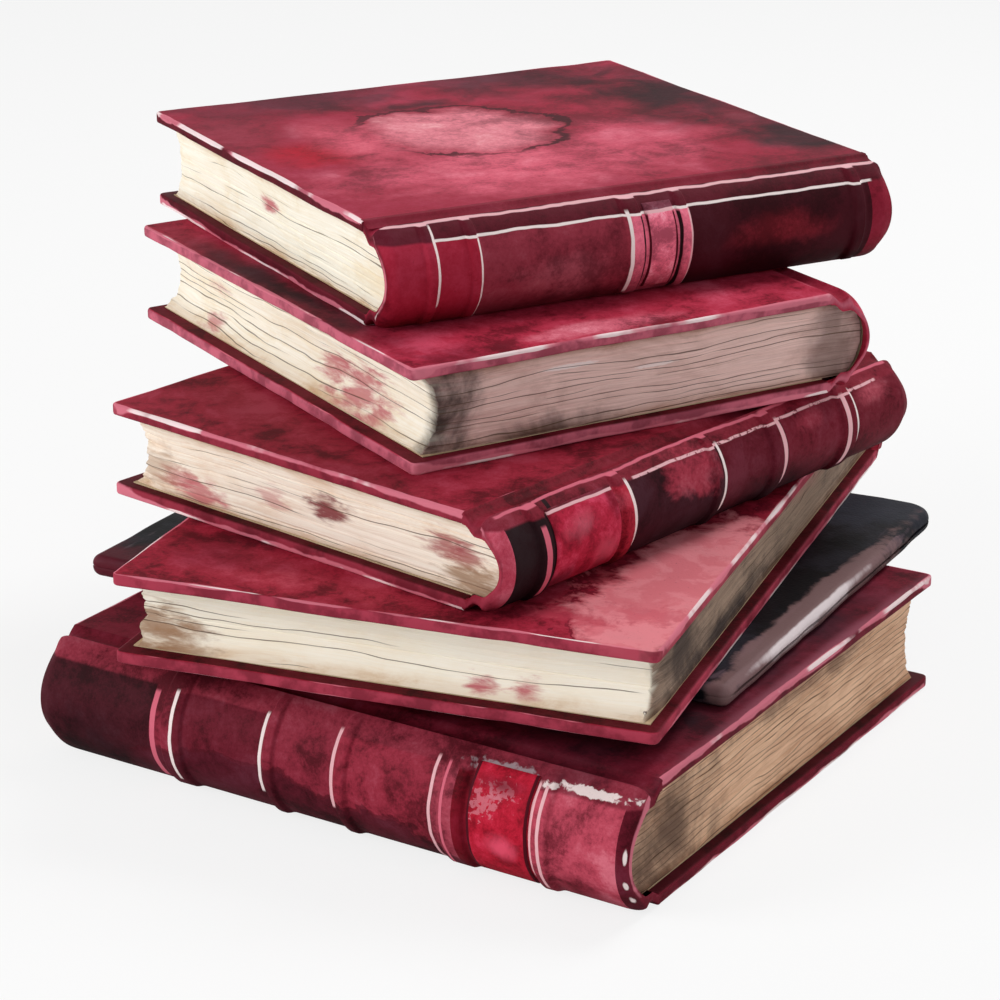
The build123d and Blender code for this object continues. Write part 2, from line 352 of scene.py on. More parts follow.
class Effects:
    """Shared shader effects, each built once."""

    def __init__(self) -> None:
        """Build every effect."""
        self.mottle = self.make_mottle()
        self.tide_mark = self.make_tide_mark()
        self.rub_and_highlight = self.make_rub_and_highlight()
        self.tooled_line = self.make_tooled_line()
        self.leather_grain = self.make_leather_grain()
        self.leaf_edges = self.make_leaf_edges()

    def make_mottle(self) -> bpy.types.NodeTree:
        """Cloudy dye at three sizes, as one tone, and fine settled grains of it."""
        inputs = {"Size": 40.0, "Seed": 0.0, "Patchiness": 1.0}
        shade, entry, leave = new_effect("Mottled dye", inputs, ("Tone", "Grains"))
        shift = shade.join(entry["Seed"], entry["Seed"], entry["Seed"])
        moved = shade.vector("ADD", shade.sized(entry["Vector"], entry["Size"]), shift)
        broad = shade.cloud(moved, 1.0, 4.0, 0.55, 0.7)
        patches = shade.cloud(moved, 3.6, 6.0, 0.66, 0.5)
        grains = shade.cloud(moved, 26.0, 5.0, 0.8)
        tone = shade.times_plus(shade.centred(broad), 1.5, 0.5)
        tone = shade.times_plus(shade.centred(patches), entry["Patchiness"], tone)
        shade.feed(leave["Tone"], shade.times_plus(shade.centred(grains), 0.7, tone))
        shade.feed(leave["Grains"], grains)
        return shade.tree

    def make_tide_mark(self) -> bpy.types.NodeTree:
        """A stain with a ragged rim round a centre."""
        inputs = {"Centre": ORIGIN, "Reach": (10.0, 10.0, 10.0), "Raggedness": 0.5, "Softness": 0.2,
                  "Fineness": 0.06, "Layers": 1.0}
        shade, entry, leave = new_effect("Tide mark", inputs, ("Inside", "Rim"))
        share = shade.vector("DIVIDE", shade.vector("SUBTRACT", entry["Vector"], entry["Centre"]), entry["Reach"])
        distance = shade.add("ShaderNodeVectorMath", {0: share}, operation="LENGTH").outputs["Value"]
        layered = shade.vector("MULTIPLY", entry["Vector"], shade.join(1.0, 1.0, entry["Layers"]))
        cloud = shade.cloud(layered, entry["Fineness"], 6.0, 0.62, 0.4)
        ragged = shade.times_plus(shade.centred(cloud), shade.times(entry["Raggedness"], 3.0), distance)
        inside = shade.math("DIVIDE", shade.minus(1.0, ragged), entry["Softness"], clamp=True)
        near = shade.math("ABSOLUTE", shade.minus(ragged, 0.97))
        wide = shade.times_plus(shade.cloud(entry["Vector"], 0.06, 3.0), 0.14, -0.02)
        shade.feed(leave["Inside"], shade.rise(inside, 0.0, 1.0))
        shade.feed(leave["Rim"], shade.rise(shade.minus(wide, near), 0.0, 0.03))
        return shade.tree

    def make_rub_and_highlight(self) -> bpy.types.NodeTree:
        """Rubbed edges and painted highlights: a mask in long uneven strokes along rims, where the leather wears thin.
        """
        inputs = {"Wear": 0.0, "Amount": 0.5, "Size": 20.0, "Raggedness": 1.0}
        shade, entry, leave = new_effect("Rubbed edge and highlight", inputs, ("Mask",))
        ragged = shade.centred(shade.cloud(shade.sized(entry["Vector"], entry["Size"]), 1.0, 4.0, 0.5, 0.2))
        level = shade.times_plus(ragged, shade.times(entry["Raggedness"], 2.0), entry["Wear"])
        worn = shade.plus(level, shade.minus(entry["Amount"], 1.0))
        shade.feed(leave["Mask"], shade.rise(worn, 0.0, 0.2))
        return shade.tree

    def make_tooled_line(self) -> bpy.types.NodeTree:
        """A tooled line across the spine, broken where it has rubbed away."""
        inputs = {"Along": 0.0, "Station": 0.0, "Width": 1.0, "Kept": 0.8}
        shade, entry, leave = new_effect("Tooled line", inputs, ("Mask",))
        sway = shade.times_plus(shade.cloud(entry["Vector"], 0.06, 2.0), 1.4, -0.7)
        distance = shade.math("ABSOLUTE", shade.plus(shade.minus(entry["Along"], entry["Station"]), sway))
        line = shade.rise(shade.minus(shade.times(entry["Width"], 0.5), distance), -0.12, 0.12)
        kept = shade.plus(shade.cloud(entry["Vector"], 0.35, 4.0, 0.7), shade.minus(entry["Kept"], 0.95))
        shade.feed(leave["Mask"], shade.times(line, shade.rise(kept, 0.0, 0.12)))
        return shade.tree

    def make_leather_grain(self) -> bpy.types.NodeTree:
        """Fine pebbled grain with shallow creases."""
        shade, entry, leave = new_effect("Leather grain", {"Size": 0.9}, ("Height", "Pores"))
        scaled = shade.sized(entry["Vector"], entry["Size"])
        pebbles = shade.add("ShaderNodeTexVoronoi", {"Vector": scaled, "Scale": 1.0}, feature="F1").outputs[0]
        creases = shade.cloud(scaled, 0.22, 4.0, 0.6, 0.5)
        shade.feed(leave["Height"], shade.plus(shade.times(pebbles, -0.42), shade.times(creases, 0.8)))
        shade.feed(leave["Pores"], shade.rise(pebbles, 0.78, 1.15))
        return shade.tree

    def make_leaf_edges(self) -> bpy.types.NodeTree:
        """Edges of many leaves: fine streaks, and a few dark open gaps that wander."""
        pitch = 2.3
        inputs = {"Seed": 0.0, "Gaps": 0.5}
        shade, entry, leave = new_effect("Leaf edges", inputs, ("Streak", "Gap", "Height"))
        moved = shade.vector("ADD", entry["Vector"], shade.join(entry["Seed"], entry["Seed"], entry["Seed"]))
        sway = shade.cloud(shade.vector("MULTIPLY", moved, (0.012, 0.012, 0.05)), 1.0, 3.0, 0.5)
        parts = shade.add("ShaderNodeSeparateXYZ", {0: moved}).outputs
        lifted = shade.times_plus(sway, 9.0, parts[2])
        bent = shade.join(parts[0], parts[1], lifted)
        streak = shade.cloud(shade.vector("MULTIPLY", bent, (0.02, 0.02, 2.2)), 1.0, 4.0, 0.7)
        wander = shade.cloud(shade.vector("MULTIPLY", bent, (0.02, 0.02, 0.12)), 1.0, 2.0, 0.5)
        phase = shade.math("FRACT", shade.math("DIVIDE", shade.times_plus(wander, 3.0, lifted), pitch))
        apart = shade.times(shade.math("ABSOLUTE", shade.centred(phase)), pitch)
        cover = shade.times_plus(entry["Gaps"], -0.34, 0.68)
        breaks = shade.cloud(shade.vector("MULTIPLY", bent, (0.006, 0.006, 0.55)), 1.0, 2.0, 0.5)
        opened = shade.rise(shade.minus(breaks, cover), 0.0, 0.05)
        gap = shade.times(shade.rise(shade.minus(0.2, apart), 0.0, 0.12), opened)
        shade.feed(leave["Streak"], streak)
        shade.feed(leave["Gap"], gap)
        shade.feed(leave["Height"], shade.minus(streak, gap))
        return shade.tree


@dataclass(frozen=True)
class Place:
    """Where a book lies in the stack, in millimetres and degrees."""

    x: float
    y: float
    turn: float
    level: float

    @property
    def corner(self) -> Vector:
        """The book's place in the stack, in metres."""
        return Vector((self.x, self.y, self.level)) * MM

    def matrix(self) -> Matrix:
        """Matrix from the book's own millimetres to the stack's metres."""
        return Matrix.Translation(self.corner) @ Matrix.Rotation(radians(self.turn), 4, "Z") @ Matrix.Scale(MM, 4)

    def coordinates(self, shade: Shading) -> Socket:
        """Read the book's own millimetres inside a material.

        Args:
            shade: The material's shading helper.

        Returns:
            The coordinates' socket.
        """
        inputs = {
            "Vector": shade.add("ShaderNodeTexCoord").outputs["Object"],
            "Location": self.corner,
            "Rotation": (0.0, 0.0, radians(self.turn)),
            "Scale": (MM, MM, MM),
        }
        return shade.add("ShaderNodeMapping", inputs, vector_type="TEXTURE").outputs[0]


@dataclass(frozen=True)
class StainAndLight:
    """A stain or faded patch with a ragged rim, in a book's own millimetres; some stand for painted highlights, painted
    sheen and painted shade.
    """

    centre: Triple
    reach: Triple
    inside: Colour
    rim: Colour
    strength: float = 0.8
    rim_strength: float = 0.5
    raggedness: float = 0.5
    softness: float = 0.2
    fineness: float = 0.06
    layers: float = 1.0

    def lay(self, shade: Shading, effects: Effects, vector: object, colour: object) -> Socket:
        """Lay the stain over a colour.

        Args:
            shade: The material's shading helper.
            effects: Shared effects.
            vector: The book's own coordinates.
            colour: The colour so far.

        Returns:
            The stained colour's socket.
        """
        mark = shade.place(effects.tide_mark, {
            "Vector": vector, "Centre": self.centre, "Reach": self.reach, "Raggedness": self.raggedness,
            "Softness": self.softness, "Fineness": self.fineness, "Layers": self.layers,
        })
        filled = shade.mix(shade.times(mark["Inside"], self.strength), colour, self.inside)
        return shade.mix(shade.times(mark["Rim"], self.rim_strength), filled, self.rim)


@dataclass(frozen=True)
class ToolLine:
    """A line tooled across the spine, or lengthwise along it."""

    station: float
    width: float
    colour: Colour
    kept: float = 0.75
    start: float = 2.0
    end: float = 99.0
    lengthwise: bool = False

    def mask(self, shade: Shading, effects: Effects, vector: object, along: object, up: object) -> Socket:
        """Mask of the line.

        Args:
            shade: The material's shading helper.
            effects: Shared effects.
            vector: The book's own coordinates.
            along: Coordinate along the spine.
            up: Coordinate across it.

        Returns:
            The mask's socket.
        """
        fade = 0.7
        measured, other = (up, along) if self.lengthwise else (along, up)
        stroke = shade.place(effects.tooled_line, {
            "Vector": vector, "Along": measured, "Station": self.station, "Width": self.width, "Kept": self.kept,
        })
        begun = shade.rise(other, self.start - fade, self.start + fade)
        ended = shade.rise(other, self.end + fade, self.end - fade)
        return shade.times(stroke["Mask"], shade.times(begun, ended))


@dataclass(frozen=True)
class LeatherFinish:
    """Dyed, mottled and worn leather of one book, with fields of colour and painted shade under its mottling, and marks
    over it: stain marks, painted highlights and painted shadow.
    """

    name: str
    place: Place
    base: Colour
    edge: Colour
    light_gain: Colour = (1.7, 4.4, 3.4, 1.0)
    shade_tint: Colour = field(default_factory=lambda: paint(118, 84, 96))
    rim: Colour = field(default_factory=lambda: paint(222, 124, 142))
    strip: Colour | None = None
    strip_level: float = 30.0
    panels: tuple[tuple[float, Colour], ...] = ()
    lines: tuple[ToolLine, ...] = ()
    fields: tuple[StainAndLight, ...] = ()
    stains_and_light: tuple[StainAndLight, ...] = ()
    mottle_size: float = 48.0
    patchiness: float = 1.15
    shade_share: float = 0.8
    light_share: float = 0.45
    painted_under_shade: float = 0.5
    seed: float = 0.0
    rim_amount: float = 0.3
    white_amount: float = 0.0
    roughness: float = 0.55
    half_height: float = 120.0

    def spine_colour(self, shade: Shading, spine: object, along: object, up: object) -> Socket:
        """Lay the spine's fields of colour over the cover's own, darkened towards the bottom as painted shade.

        Args:
            shade: The material's shading helper.
            spine: Share of the spine's zone.
            along: Coordinate along the spine.
            up: Coordinate across it.

        Returns:
            The colour's socket.
        """
        whole = 2 * self.half_height
        start = shade.math("DIVIDE", shade.plus(along, self.half_height), whole, clamp=True)
        panel = shade.held_ramp(start, [((at + self.half_height) / whole, tone) for at, tone in self.panels])
        if self.strip is not None:
            panel = shade.mix(shade.rise(up, self.strip_level + 0.5, self.strip_level - 0.5), self.strip, panel)
        colour = shade.mix(spine, self.base, panel)
        # Painted shade: the spine darkens towards its bottom
        low = shade.times(shade.rise(up, 0.42 * self.strip_level, 0.0), shade.times(spine, self.painted_under_shade))
        return shade.mix(low, colour, SHADOW_TINT, "MULTIPLY")

    def worn_and_highlit_colour(self, shade: Shading, effects: Effects, vector: object, colour: object, rim: object,
                    board: object) -> Socket:
        """Darken or lighten the board edges and lighten their rims in long strokes: rubbed leather and painted
        highlights, white on the crests.

        Args:
            shade: The material's shading helper.
            effects: Shared effects.
            vector: The book's own coordinates.
            colour: The colour so far.
            rim: Share of the rim.
            board: Share of the board's edge.

        Returns:
            The colour's socket.
        """
        cloud = shade.rise(shade.cloud(vector, 0.09, 4.0, 0.6), 0.4, 0.62)
        tone = shade.mix(shade.times(cloud, 0.55), self.edge, self.shade_tint, "MULTIPLY")
        colour = shade.mix(shade.times(board, 0.9), colour, tone)
        crest = shade.rise(rim, 0.55, 0.95)
        # Pink and white strokes along the rims: rubbed leather and painted highlights
        for wear, amount, size, raggedness, share, bare in (
            (rim, self.rim_amount, 26.0, 0.9, 0.8, self.rim), (crest, self.white_amount, 38.0, 1.2, 0.85, BARE_AND_HIGHLIGHT_TONE),
        ):
            rub = shade.place(effects.rub_and_highlight, {
                "Vector": vector, "Wear": wear, "Amount": amount, "Size": size, "Raggedness": raggedness,
            })
            colour = shade.mix(shade.times(rub["Mask"], share), colour, bare)
        return colour

    def material(self, effects: Effects) -> bpy.types.Material:
        """Build the leather.

        Args:
            effects: Shared effects.

        Returns:
            The finished material.
        """
        made, shade, surface = new_material(self.name)
        vector = self.place.coordinates(shade)
        parts = shade.add("ShaderNodeSeparateXYZ", {0: vector}).outputs
        along, up = parts[0], parts[2]
        zone = shade.add("ShaderNodeSeparateColor", {0: shade.attribute("zones", "Color")}).outputs
        rim, spine, inner = zone[0], zone[1], zone[2]
        mottle = shade.place(effects.mottle, {
            "Vector": vector, "Size": self.mottle_size, "Seed": self.seed, "Patchiness": self.patchiness,
        })
        colour = self.spine_colour(shade, spine, along, up) if self.panels else self.base
        for stain in self.fields:
            colour = stain.lay(shade, effects, vector, colour)
        darker = shade.times(shade.rise(mottle["Tone"], 0.56, 0.18), self.shade_share)
        colour = shade.mix(darker, colour, self.shade_tint, "MULTIPLY")
        lighter = shade.times(shade.rise(mottle["Tone"], 0.48, 0.9), self.light_share)
        colour = shade.mix(lighter, colour, self.light_gain, "MULTIPLY")
        for stain in self.stains_and_light:
            colour = stain.lay(shade, effects, vector, colour)
        grain = shade.place(effects.leather_grain, {"Vector": vector, "Size": GRAIN_SIZE})
        colour = shade.mix(shade.times(grain["Pores"], 0.35), colour, self.shade_tint, "MULTIPLY")
        for line in self.lines:
            mask = shade.times(line.mask(shade, effects, vector, along, up), spine)
            colour = shade.mix(mask, colour, line.colour)
        # Painted shade: the joint's groove, the inside of the boards and the spine's hollow are darkened by their inner
        # share
        colour = shade.mix(shade.times(inner, 0.85), colour, SHADOW_TINT, "MULTIPLY")
        colour = self.worn_and_highlit_colour(shade, effects, vector, colour, rim, shade.attribute("board_edge", "Fac"))
        rough = shade.times_plus(mottle["Grains"], 0.16, self.roughness)
        shade.dress(surface, colour, rough, grain["Height"], LEATHER_RELIEF, LEATHER_SHINE)
        return made


@dataclass(frozen=True)
class PageFinish:
    """Edges of old leaves, with their own two tones on each side of the block; on some blocks the end that faces right
    is darker, partly toned edges and partly painted shade.
    """

    name: str
    place: Place
    half_height: float
    fore: Colour
    fore_shade: Colour
    near_end: Colour
    near_shade: Colour
    far_end: Colour
    far_shade: Colour
    low: float
    high: float
    gaps: float = 0.5
    gap_tone: Colour = field(default_factory=lambda: paint(88, 66, 50))
    board_shadow: Colour = field(default_factory=lambda: paint(204, 170, 136))
    stains_and_light: tuple[StainAndLight, ...] = ()
    seed: float = 0.0

    def material(self, effects: Effects) -> bpy.types.Material:
        """Build the paper.

        Args:
            effects: Shared effects.

        Returns:
            The finished material.
        """
        made, shade, surface = new_material(self.name)
        vector = self.place.coordinates(shade)
        parts = shade.add("ShaderNodeSeparateXYZ", {0: vector}).outputs
        near = shade.rise(parts[0], -self.half_height + 3.0, -self.half_height + 1.2)
        far = shade.rise(parts[0], self.half_height - 3.0, self.half_height - 1.2)
        leaves = shade.place(effects.leaf_edges, {"Vector": vector, "Seed": self.seed, "Gaps": self.gaps})
        streak = shade.rise(leaves["Streak"], 0.35, 0.68)
        aged = shade.cloud(shade.vector("MULTIPLY", vector, (0.03, 0.03, 0.09)), 1.0, 6.0, 0.68, 0.5)
        age = shade.rise(aged, 0.42, 0.7)
        blend = shade.plus(shade.times(streak, 0.4), shade.times(age, 0.45), clamp=True)
        colour = shade.mix(blend, self.fore, self.fore_shade)
        colour = shade.mix(near, colour, shade.mix(blend, self.near_end, self.near_shade))
        colour = shade.mix(far, colour, shade.mix(blend, self.far_end, self.far_shade))
        below = shade.rise(parts[2], self.low + 4.5, self.low)
        above = shade.rise(parts[2], self.high - 4.5, self.high)
        rim = shade.times(shade.math("MAXIMUM", below, above), shade.times_plus(age, 0.5, 0.3))
        colour = shade.mix(rim, colour, self.board_shadow, "MULTIPLY")
        for stain in self.stains_and_light:
            colour = stain.lay(shade, effects, vector, colour)
        colour = shade.mix(shade.times(leaves["Gap"], 0.8), colour, self.gap_tone)
        rough = shade.times_plus(streak, 0.1, 0.8)
        shade.dress(surface, colour, rough, leaves["Height"], PAPER_RELIEF, PAPER_SHINE)
        return made


class PlainKind(Enum):
    """Inner finishes that follow no single book."""

    ENDPAPER = "endpaper"
    MILLBOARD = "millboard"
    LINING = "lining_cloth"
    CORD = "hemp_cord"


@dataclass(frozen=True)
class PlainFinish:
    """Fibrous inner material in two tones."""

    kind: PlainKind
    light: Colour
    dark: Colour
    size: float
    roughness: float

    def material(self) -> bpy.types.Material:
        """Build the material from two clouds of fibre.

        Returns:
            The finished material.
        """
        made, shade, surface = new_material(self.kind.value)
        vector = shade.vector("MULTIPLY", shade.add("ShaderNodeTexCoord").outputs["Object"], (1 / MM,) * 3)
        broad = shade.rise(shade.cloud(vector, 0.3 / self.size, 5.0, 0.6, 0.4), 0.35, 0.7)
        fibre = shade.cloud(vector, 3.0 / self.size, 5.0, 0.7, 1.2)
        share = shade.plus(shade.times(broad, 0.6), shade.times_plus(fibre, 0.6, -0.15), clamp=True)
        rough = shade.times_plus(fibre, 0.15, self.roughness)
        shade.dress(surface, shade.mix(share, self.light, self.dark), rough, fibre, FIBRE_RELIEF, PAPER_SHINE)
        return made


@dataclass(frozen=True)
class LimpFinish:
    """Soft charcoal leather with a pinkish grey bloom where it is rubbed, which on the rolled edge is also a painted
    sheen.
    """

    name: str
    place: Place
    stains_and_light: tuple[StainAndLight, ...] = ()

    def material(self, effects: Effects) -> bpy.types.Material:
        """Build the leather.

        Args:
            effects: Shared effects.

        Returns:
            The finished material.
        """
        made, shade, surface = new_material(self.name)
        vector = self.place.coordinates(shade)
        zone = shade.add("ShaderNodeSeparateColor", {0: shade.attribute("zones", "Color")}).outputs
        mottle = shade.place(effects.mottle, {"Vector": vector, "Size": 45.0, "Seed": 2.0})
        colour = shade.mix(shade.rise(mottle["Tone"], 0.4, 0.8), paint(11, 10, 13), paint(34, 33, 40))
        # Pinkish grey along the rolled edge: rubbed leather and painted sheen
        edge = shade.place(effects.rub_and_highlight, {
            "Vector": vector, "Wear": zone[0], "Amount": 0.4, "Size": 24.0, "Raggedness": 0.8,
        })
        colour = shade.mix(shade.times(edge["Mask"], 0.55), colour, paint(108, 88, 98))
        for stain in self.stains_and_light:
            colour = stain.lay(shade, effects, vector, colour)
        grain = shade.place(effects.leather_grain, {"Vector": vector, "Size": 1.1})
        rough = shade.times_plus(mottle["Grains"], 0.18, 0.45)
        shade.dress(surface, colour, rough, grain["Height"], LIMP_RELIEF, LEATHER_SHINE)
        return made


# ---------------------------------------------------------------- meshes

WELD = 1e-4
SHARP_ANGLE = radians(48)
BACK_WALL = 2.25  # leather, cords and lining over the backs of the pages
NO_WEAR = (0.0, 0.0, 0.0, 0.0)
ALONG_BOOK = Vector((1.0, 0.0, 0.0))
UPRIGHT = Vector((0.0, 0.0, 1.0))


class Zone(Enum):
    """Parts of a cover's section, which wear and bend in their own ways."""

    FACE = "outer face of a board"
    EDGE = "fore-edge of a board"
    INNER = "inside of a board"
    RECESS = "inside of a board, where a pastedown lies"
    SPINE = "outer face of the spine"
    GROOVE = "outer face of the joint"
    CAP = "inner face of the spine"
    GUTTER = "inner face of the joint"


class Side(Enum):
    """Sides of a block of pages."""

    FORE = "fore-edge"
    END = "head or tail"
    BACK = "spine"


@dataclass
class RingPoint:
    """One point of a closed section: place, zone and wall thickness there."""

    across: float
    up: float
    zone: Zone
    wall: float
    out: Vector = field(default_factory=lambda: Vector((0.0, 0.0)))


class Section:
    """A closed section drawn with lines and arcs."""

    def __init__(self) -> None:
        """Start with no points."""
        self.points: list[RingPoint] = []

    def line(self, start: Sequence[float], end: Sequence[float], count: int, zone: Zone, wall: float) -> None:
        """Draw a straight run, leaving out its end.

        Args:
            start: First point.
            end: Point that the run leads to.
            count: Number of steps.
            zone: Zone that the points belong to.
            wall: Thickness there.
        """
        for step in range(count):
            share = step / count
            across, up = (a + (b - a) * share for a, b in zip(start, end))
            self.points.append(RingPoint(across, up, zone, wall))

    def arc(self, start: Sequence[float], through: Sequence[float], end: Sequence[float], count: int,
            zone: Zone, wall: float) -> None:
        """Draw an arc through three points, leaving out its end.

        Args:
            start: First point.
            through: A point on the way.
            end: Point that the arc leads to.
            count: Number of steps.
            zone: Zone that the points belong to.
            wall: Thickness there.
        """
        a, b, c = (complex(*point) for point in (start, through, end))
        w = (c - a) / (b - a)
        centre = (b - a) * (w - abs(w) ** 2) / (2j * w.imag) + a
        first, whole = a - centre, (c - centre) / (a - centre)
        half = (b - centre) / (a - centre)
        sweep = Vector((whole.real, whole.imag)).angle_signed(Vector((1.0, 0.0)))
        middle = Vector((half.real, half.imag)).angle_signed(Vector((1.0, 0.0)))
        if middle * sweep < 0:
            sweep += 2 * pi if middle > 0 else -2 * pi
        for step in range(count):
            turn = sweep * step / count
            point = centre + first * complex(cos(turn), sin(turn))
            self.points.append(RingPoint(point.real, point.imag, zone, wall))

    def finish(self) -> list[RingPoint]:
        """Work out which way is outward at each point.

        Returns:
            The points in order.
        """
        count = len(self.points)
        area = sum(
            p.across * self.points[(i + 1) % count].up - self.points[(i + 1) % count].across * p.up
            for i, p in enumerate(self.points)
        )
        side = 1.0 if area > 0 else -1.0
        for index, point in enumerate(self.points):
            before, after = self.points[index - 1], self.points[(index + 1) % count]
            run = Vector((after.across - before.across, after.up - before.up))
            point.out = Vector((run.y, -run.x)).normalized() * side if run.length else Vector((0.0, 0.0))
        return self.points


def wrapped_mesh(rows: int, columns: int, spot: Callable[[int, int], Spot],
                 along: Vector = ALONG_BOOK) -> bmesh.types.BMesh:
    """Bend a grid into a closed tube and close its two ends.

    Args:
        rows: Number of rings along the tube.
        columns: Number of points round each ring.
        spot: Gives a point's place, and its rim, spine, inner and board edge shares, from row and column.
        along: Direction in which the tube runs.

    Returns:
        The closed mesh, in the book's own millimetres.
    """
    made = bmesh.new()
    bmesh.ops.create_grid(made, x_segments=rows - 1, y_segments=columns, size=1.0)
    zones = made.verts.layers.float_color.new("zones")
    board = made.verts.layers.float.new("board_edge")
    for vertex in made.verts:
        row = round((vertex.co.x + 1) / 2 * (rows - 1))
        column = round((vertex.co.y + 1) / 2 * columns) % columns
        vertex.co, shares = spot(row, column)
        vertex[zones] = (*shares[:3], 1.0)
        vertex[board] = shares[3]
    bmesh.ops.remove_doubles(made, verts=made.verts[:], dist=WELD)
    rims = [edge for edge in made.edges if edge.is_boundary]
    middle = sum(edge.verts[0].co.dot(along) for edge in rims) / len(rims)
    for side in (-1, 1):
        rim = [edge for edge in rims if (edge.verts[0].co.dot(along) - middle) * side > 0]
        bmesh.ops.triangle_fill(made, edges=rim, normal=along, use_beauty=True)
    bmesh.ops.recalc_face_normals(made, faces=made.faces[:])
    return made


def new_piece(name: str, shape: bmesh.types.BMesh, matrix: Matrix, finish: bpy.types.Material,
              nodes: Sequence[str]) -> bpy.types.Object:
    """Turn a mesh in a book's own millimetres into a piece of the stack.

    Args:
        name: The piece's name.
        shape: Its mesh.
        matrix: From the book's millimetres to the stack's metres.
        finish: Its material.
        nodes: Solids that it stands for.

    Returns:
        The new object.
    """
    mesh = bpy.data.meshes.new(name)
    shape.transform(matrix)
    shape.to_mesh(mesh)
    shape.free()
    mesh.polygons.foreach_set("use_smooth", [True] * len(mesh.polygons))
    mesh.set_sharp_from_angle(angle=SHARP_ANGLE)
    mesh.materials.append(finish)
    piece = bpy.data.objects.new(name, mesh)
    bpy.context.scene.collection.objects.link(piece)
    if nodes:
        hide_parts(*nodes)
    log.info("%s: %d faces", name, len(mesh.polygons))
    return piece


def even_steps(start: float, end: float, pitch: float) -> list[float]:
    """Even stations from start to end, both included."""
    count = max(1, round((end - start) / pitch))
    return [start + (end - start) * step / count for step in range(count + 1)]


